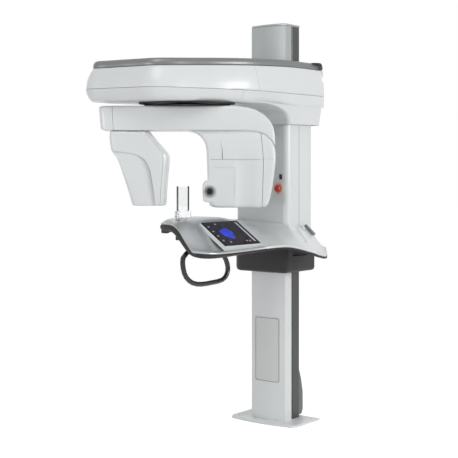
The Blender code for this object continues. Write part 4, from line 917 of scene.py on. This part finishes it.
def buildNamePlate():
    low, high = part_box("name_plate")
    bm = bmesh.new()
    wide, lowZ, highZ, r, line = high.x - 0.004, low.z + 0.004, high.z - 0.004, 0.012, 0.0017
    half, bow, y0 = 0.120, 0.015, -0.060

    def onPlate(x, z):
        return (x, y0 - bow * (1 - (x / half) ** 2) - 0.0022, z)

    def spread(outline, step=0.012):
        # extra points along the level edges, so that the line follows the bowed plate
        full = []
        for (ax, az), (bx, bz) in zip(outline, outline[1:] + outline[:1]):
            count = max(1, round(abs(bx - ax) / step))
            full += [(ax + (bx - ax) * i / count, az + (bz - az) * i / count) for i in range(count)]
        return full

    outer = spread(cornered(-wide, wide, lowZ, highZ, (r,) * 4, 6))
    inner = [(x * (wide - line) / wide, (z - (lowZ + highZ) / 2) * (1 - 2 * line / (highZ - lowZ))
              + (lowZ + highZ) / 2) for x, z in outer]
    loops = []
    for outline, lift in ((outer, 0.0), (outer, 0.0006), (inner, 0.0006), (inner, 0.0)):
        loops.append(ringOf(bm, [(p[0], p[1] - lift, p[2]) for p in (onPlate(x, z) for x, z in outline)]))
    bridgeRings(bm, loops + loops[:1])
    border = meshPiece("nameplateEdge", bm)
    setOut(border, "name_plate", material=finishes["dark_plastic"])
    for node, finish in (("name_plate", plateSilver), ("column_top_cap", finishes["aluminium"]),
                         ("cable_cover", coverGrey)):
        refinedCopies[node].data.materials.clear()
        refinedCopies[node].data.materials.append(finish)
    print("name plate edged")


buildCamera()
buildHub()
buildControls()
buildScreen()
buildControlBox()
buildNamePlate()


# console: one smooth surface between an inner and an outer edge, given at stations along it
console = {
    "edges": (((-0.150, -0.828, 1.172), (0.150, -0.905, 1.040)), ((-0.155, -0.760, 1.192), (0.205, -0.815, 1.030)),
              ((-0.160, -0.640, 1.198), (0.215, -0.640, 1.030)), ((-0.165, -0.475, 1.196), (0.225, -0.465, 1.035)),
              ((-0.172, -0.310, 1.180), (0.255, -0.360, 1.042)), ((-0.176, -0.133, 1.168), (0.305, -0.300, 1.045)),
              ((0.010, -0.133, 1.156), (0.345, -0.260, 1.036)), ((0.154, -0.133, 1.150), (0.380, -0.215, 1.020)),
              ((0.1787, -0.1227, 1.146), (0.402, -0.180, 1.008)), ((0.189, -0.098, 1.142), (0.4080, -0.142, 0.996)),
              ((0.189, -0.020, 1.126), (0.400, -0.060, 0.986)), ((0.189, 0.045, 1.116), (0.345, 0.020, 1.020))),
    "split": 3.5, "gap": 0.006, "steps": 30, "plate": 0.0115,
    "dish": {"from": 4.35, "to": 9.0, "low": 0.14, "high": 0.60, "deep": 0.019},
}


def consolePoint(station, t, drop=0.0):
    edges = console["edges"]
    i = min(int(station), len(edges) - 2)
    s = station - i
    four = [edges[min(max(k, 0), len(edges) - 1)] for k in (i - 1, i, i + 1, i + 2)]
    ends = [Vector([0.5 * (2 * b + (c - a) * s + (2 * a - 5 * b + 4 * c - d) * s ** 2
                           + (3 * b - a - 3 * c + d) * s ** 3) for a, b, c, d in zip(*(p[side] for p in four))])
            for side in (0, 1)]
    start = 0.30 - 0.25 * min(1.0, max(0.0, (station - 3.0) / 2.0))
    bend = min(1.0, max(0.0, (t - start) / (0.98 - start)))
    bend = bend * bend * (3 - 2 * bend)
    point = ends[0].lerp(ends[1], t)
    point.z = ends[0].z + (ends[1].z - ends[0].z) * bend - drop
    return point


def softStep(low, high, value):
    t = min(1.0, max(0.0, (value - low) / (high - low)))
    return t * t * (3 - 2 * t)


def dishDrop(station, t):
    # the tray's shallow dish: soft sides, sharper at its far end
    dish = console["dish"]
    along = softStep(dish["from"], dish["from"] + 0.35, station)
    along *= 1 - softStep(dish["to"] - 0.15, dish["to"], station)
    across = softStep(dish["low"], dish["low"] + 0.06, t)
    across *= 1 - softStep(dish["high"] - 0.07, dish["high"], t)
    return dish["deep"] * along * across


def consoleSlab(name, first, last, top, bottom, step=0.1, inset=0.0, edge=0.0035):
    # top and bottom give a drop at a station and a share; the two long edges are rounded
    size = console
    count = max(2, round((last - first) / step))
    shares = [inset + (1 - 2 * inset) * k / size["steps"] for k in range(size["steps"] + 1)]
    bm = bmesh.new()
    rings = []
    for k in range(count + 1):
        station = first + (last - first) * k / count
        upper = [consolePoint(station, t, top(station, t)) for t in shares]
        lower = [consolePoint(station, t, bottom(station, t)) for t in shares]
        out = upper[-1] - upper[-2]
        out.z = 0
        out = out.normalized() * edge
        away = upper[0] - upper[1]
        away.z = 0
        away = away.normalized() * edge * 0.4
        outer = [upper[-1].lerp(lower[-1], s) + out * w for s, w in ((0.18, 0.75), (0.5, 1.0), (0.82, 0.75))]
        inner = [lower[0].lerp(upper[0], s) + away * w for s, w in ((0.18, 0.75), (0.5, 1.0), (0.82, 0.75))]
        rings.append([bm.verts.new(p) for p in upper + outer + lower[::-1] + inner])
    whole = len(rings[0])
    for near, far in zip(rings, rings[1:]):
        for i in range(whole):
            bm.faces.new((near[i], near[(i + 1) % whole], far[(i + 1) % whole], far[i]))
    n = size["steps"] + 1
    for ring in (rings[0], rings[-1]):
        for i in range(n - 1):
            bm.faces.new((ring[i], ring[i + 1], ring[n + 3 + n - 2 - i], ring[n + 3 + n - 1 - i]))
        bm.faces.new(ring[n - 1:n + 4])
        bm.faces.new([ring[2 * n + 2]] + ring[2 * n + 3:] + [ring[0]])
    return meshPiece(name, bm)


def buildConsole():
    size = console
    last = len(size["edges"]) - 1
    plate = size["plate"]

    def under(station, t):
        # thick at the nose, thin along the outer edge
        nose = 0.030 * (1 - softStep(0.0, 2.4, station)) * (1 - softStep(0.16, 0.48, t))
        return plate + 0.0125 + nose

    deck = consoleSlab("deckSkin", 0.0, size["split"] - size["gap"], lambda s, t: 0.0, lambda s, t: plate)
    tray = consoleSlab("traySkin", size["split"] + size["gap"], last, dishDrop,
                       lambda s, t: plate + 0.0005 + dishDrop(s, t))
    base = consoleSlab("consoleRim", 0.03, last - 0.05, lambda s, t: plate + 0.0008 + dishDrop(s, t),
                       lambda s, t: under(s, t) + dishDrop(s, t), inset=0.012, edge=0.008)
    for piece, node, finish in ((deck, "console_deck", deckSilver), (tray, "console_tray", None),
                                (base, "console_underbody", None)):
        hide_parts(node)
        setOut(piece, node, material=finish, sharp=40)
    print("console built")


def buildChinPosts():
    low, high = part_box("chin_support")
    middle, reach, radius = (low.x + high.x) / 2, 0.0450, 0.0050
    bm = bmesh.new()
    bmesh.ops.create_cube(bm, size=1.0)
    bmesh.ops.scale(bm, vec=(0.0030, 2 * reach, high.z - low.z - 0.006), verts=bm.verts)
    bmesh.ops.translate(bm, vec=(middle, (low.y + high.y) / 2, (low.z + high.z) / 2), verts=bm.verts)
    plate = meshPiece("chinPlate", bm)
    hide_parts("chin_support")
    softEdges(setOut(plate, "chin_support"), 0.0006, 2, 50)
    tall = high.z - low.z
    for side, y in (("Near", low.y + radius + 0.0005), ("Far", high.y - radius - 0.0005)):
        post = turnedPiece("chinPost" + side, ((0.0030, 0.0), (radius, 0.0005), (radius, tall - 0.003),
                                               (0.0038, tall - 0.0010), (0.0020, tall)),
                           (middle, y, low.z), (0, 0, 1), 24)
        setOut(post, "chin_support", material=smoked)
    print("chin posts built")


edgeRoll = {"inset": 0.016, "drop": 0.0105, "sides": 20,
            # how far along the roll, and its radius there
            "radii": ((0.0, 0.0150), (0.04, 0.0195), (0.16, 0.0190), (0.34, 0.0150), (0.52, 0.0120), (0.75, 0.0088),
                      (0.93, 0.0070), (1.0, 0.0045))}


def buildEdgeRoll():
    # the soft dark roll under the console's free end, which thins out along its outer edge
    size = edgeRoll
    spots = [consolePoint(0.16, 0.02 + 0.92 * k / 24) for k in range(25)]
    spots += [consolePoint(0.16 + 4.2 * k / 34, 1.0 - size["inset"] / 0.38) for k in range(2, 35)]
    for _ in range(6):
        spots = [spots[0]] + [(a + b * 2 + c) / 4 for a, b, c in zip(spots, spots[1:], spots[2:])] + [spots[-1]]
    reach = [0.0]
    for a, b in zip(spots, spots[1:]):
        reach.append(reach[-1] + (b - a).length)
    bm = bmesh.new()
    rings = []
    for k, spot in enumerate(spots):
        share = reach[k] / reach[-1]
        radius = next(r0 + (r1 - r0) * (share - t0) / (t1 - t0) for (t0, r0), (t1, r1)
                      in zip(size["radii"], size["radii"][1:]) if share <= t1 + 1e-9)
        ahead = (spots[min(k + 1, len(spots) - 1)] - spots[max(k - 1, 0)]).normalized()
        side = ahead.cross(Vector((0, 0, 1))).normalized()
        up = side.cross(ahead)
        middle = spot - Vector((0, 0, size["drop"] + radius * 0.80))
        rings.append(ringOf(bm, [middle + side * radius * cos(2 * pi * j / size["sides"])
                                 + up * radius * sin(2 * pi * j / size["sides"]) for j in range(size["sides"])]))
    bridgeRings(bm, rings)
    capRing(bm, rings[0])
    capRing(bm, rings[-1])
    roll = meshPiece("consoleRoll", bm)
    softEdges(setOut(roll, "console_underbody", sharp=60), 0.003, 3, 60)
    print("edge roll built")


buildConsole()
buildEdgeRoll()
buildChinPosts()


# studio
def buildStudio():
    studio = {"floorSize": 60.0, "cameraAt": (3.689, -5.152, 1.4446), "turn": 38.0, "lens": 85.0, "rise": -0.1245}
    bpy.ops.mesh.primitive_plane_add(size=studio["floorSize"], location=(0, 0, 0))
    floor = bpy.context.object
    floor.name = "studioFloor"
    material = bpy.data.materials.new("studioFloor")
    material.use_nodes = True
    tree = material.node_tree
    shader = tree.nodes["Principled BSDF"]
    shader.inputs["Base Color"].default_value = (0.86, 0.86, 0.86, 1.0)
    shader.inputs["Roughness"].default_value = 0.9
    glow = tree.nodes.new("ShaderNodeEmission")
    glow.inputs["Strength"].default_value = 0.70
    path = tree.nodes.new("ShaderNodeLightPath")
    seen = tree.nodes.new("ShaderNodeMath")
    seen.operation = "MAXIMUM"
    shown = tree.nodes.new("ShaderNodeMath")
    shown.operation = "MAXIMUM"
    both = tree.nodes.new("ShaderNodeAddShader")
    switch = tree.nodes.new("ShaderNodeMixShader")
    tree.links.new(shader.outputs[0], both.inputs[0])
    tree.links.new(glow.outputs[0], both.inputs[1])
    tree.links.new(path.outputs["Is Camera Ray"], seen.inputs[0])
    tree.links.new(path.outputs["Is Glossy Ray"], seen.inputs[1])
    tree.links.new(seen.outputs[0], shown.inputs[0])
    tree.links.new(path.outputs["Is Transmission Ray"], shown.inputs[1])
    tree.links.new(shown.outputs[0], switch.inputs["Fac"])
    tree.links.new(shader.outputs[0], switch.inputs[1])
    tree.links.new(both.outputs[0], switch.inputs[2])
    tree.links.new(switch.outputs[0], tree.nodes["Material Output"].inputs["Surface"])
    floor.data.materials.append(material)

    world = bpy.data.worlds.new("studio")
    bpy.context.scene.world = world
    world.use_nodes = True
    tree = world.node_tree
    plain = tree.nodes["Background"]
    plain.inputs["Color"].default_value = (0.97, 0.98, 1.0, 1.0)
    plain.inputs["Strength"].default_value = 0.30
    white = tree.nodes.new("ShaderNodeBackground")
    white.inputs["Color"].default_value = (1, 1, 1, 1)
    white.inputs["Strength"].default_value = 1.0
    path = tree.nodes.new("ShaderNodeLightPath")
    first = tree.nodes.new("ShaderNodeMath")
    first.operation = "MAXIMUM"
    second = tree.nodes.new("ShaderNodeMath")
    second.operation = "MAXIMUM"
    switch = tree.nodes.new("ShaderNodeMixShader")
    tree.links.new(path.outputs["Is Camera Ray"], first.inputs[0])
    tree.links.new(path.outputs["Is Glossy Ray"], first.inputs[1])
    tree.links.new(first.outputs[0], second.inputs[0])
    tree.links.new(path.outputs["Is Transmission Ray"], second.inputs[1])
    tree.links.new(second.outputs[0], switch.inputs["Fac"])
    tree.links.new(plain.outputs[0], switch.inputs[1])
    tree.links.new(white.outputs[0], switch.inputs[2])
    tree.links.new(switch.outputs[0], tree.nodes["World Output"].inputs["Surface"])

    lamps = {
        "keyLamp": {"at": (4.4, 0.5, 2.3), "aim": (0, -0.4, 1.4), "size": 1.8, "power": 84},
        "frontLamp": {"at": (-0.2, -4.8, 1.5), "aim": (-0.1, -0.6, 1.3), "size": 1.6, "power": 36},
        "topLamp": {"at": (1.2, -2.4, 4.2), "aim": (0.1, -0.4, 1.1), "size": 2.0, "power": 30},
        "backLamp": {"at": (-4.6, 1.4, 3.0), "aim": (0, -0.2, 1.4), "size": 2.2, "power": 26},
    }
    for name, lamp in lamps.items():
        light = bpy.data.lights.new(name, "AREA")
        light.size = lamp["size"]
        light.energy = lamp["power"]
        obj = bpy.data.objects.new(name, light)
        bpy.context.scene.collection.objects.link(obj)
        obj.location = lamp["at"]
        obj.rotation_euler = (Vector(lamp["aim"]) - Vector(lamp["at"])).to_track_quat("-Z", "Y").to_euler()

    camera = bpy.data.cameras.new("studioCamera")
    camera.lens = studio["lens"]
    camera.sensor_width = 36.0
    camera.shift_y = studio["rise"]
    camera.clip_end = 60.0
    view = bpy.data.objects.new("studioCamera", camera)
    bpy.context.scene.collection.objects.link(view)
    view.location = studio["cameraAt"]
    view.rotation_euler = (radians(90), 0, radians(studio["turn"]))
    bpy.context.scene.camera = view
    bpy.context.scene.view_settings.view_transform = "Standard"
    print("studio set")


buildStudio()
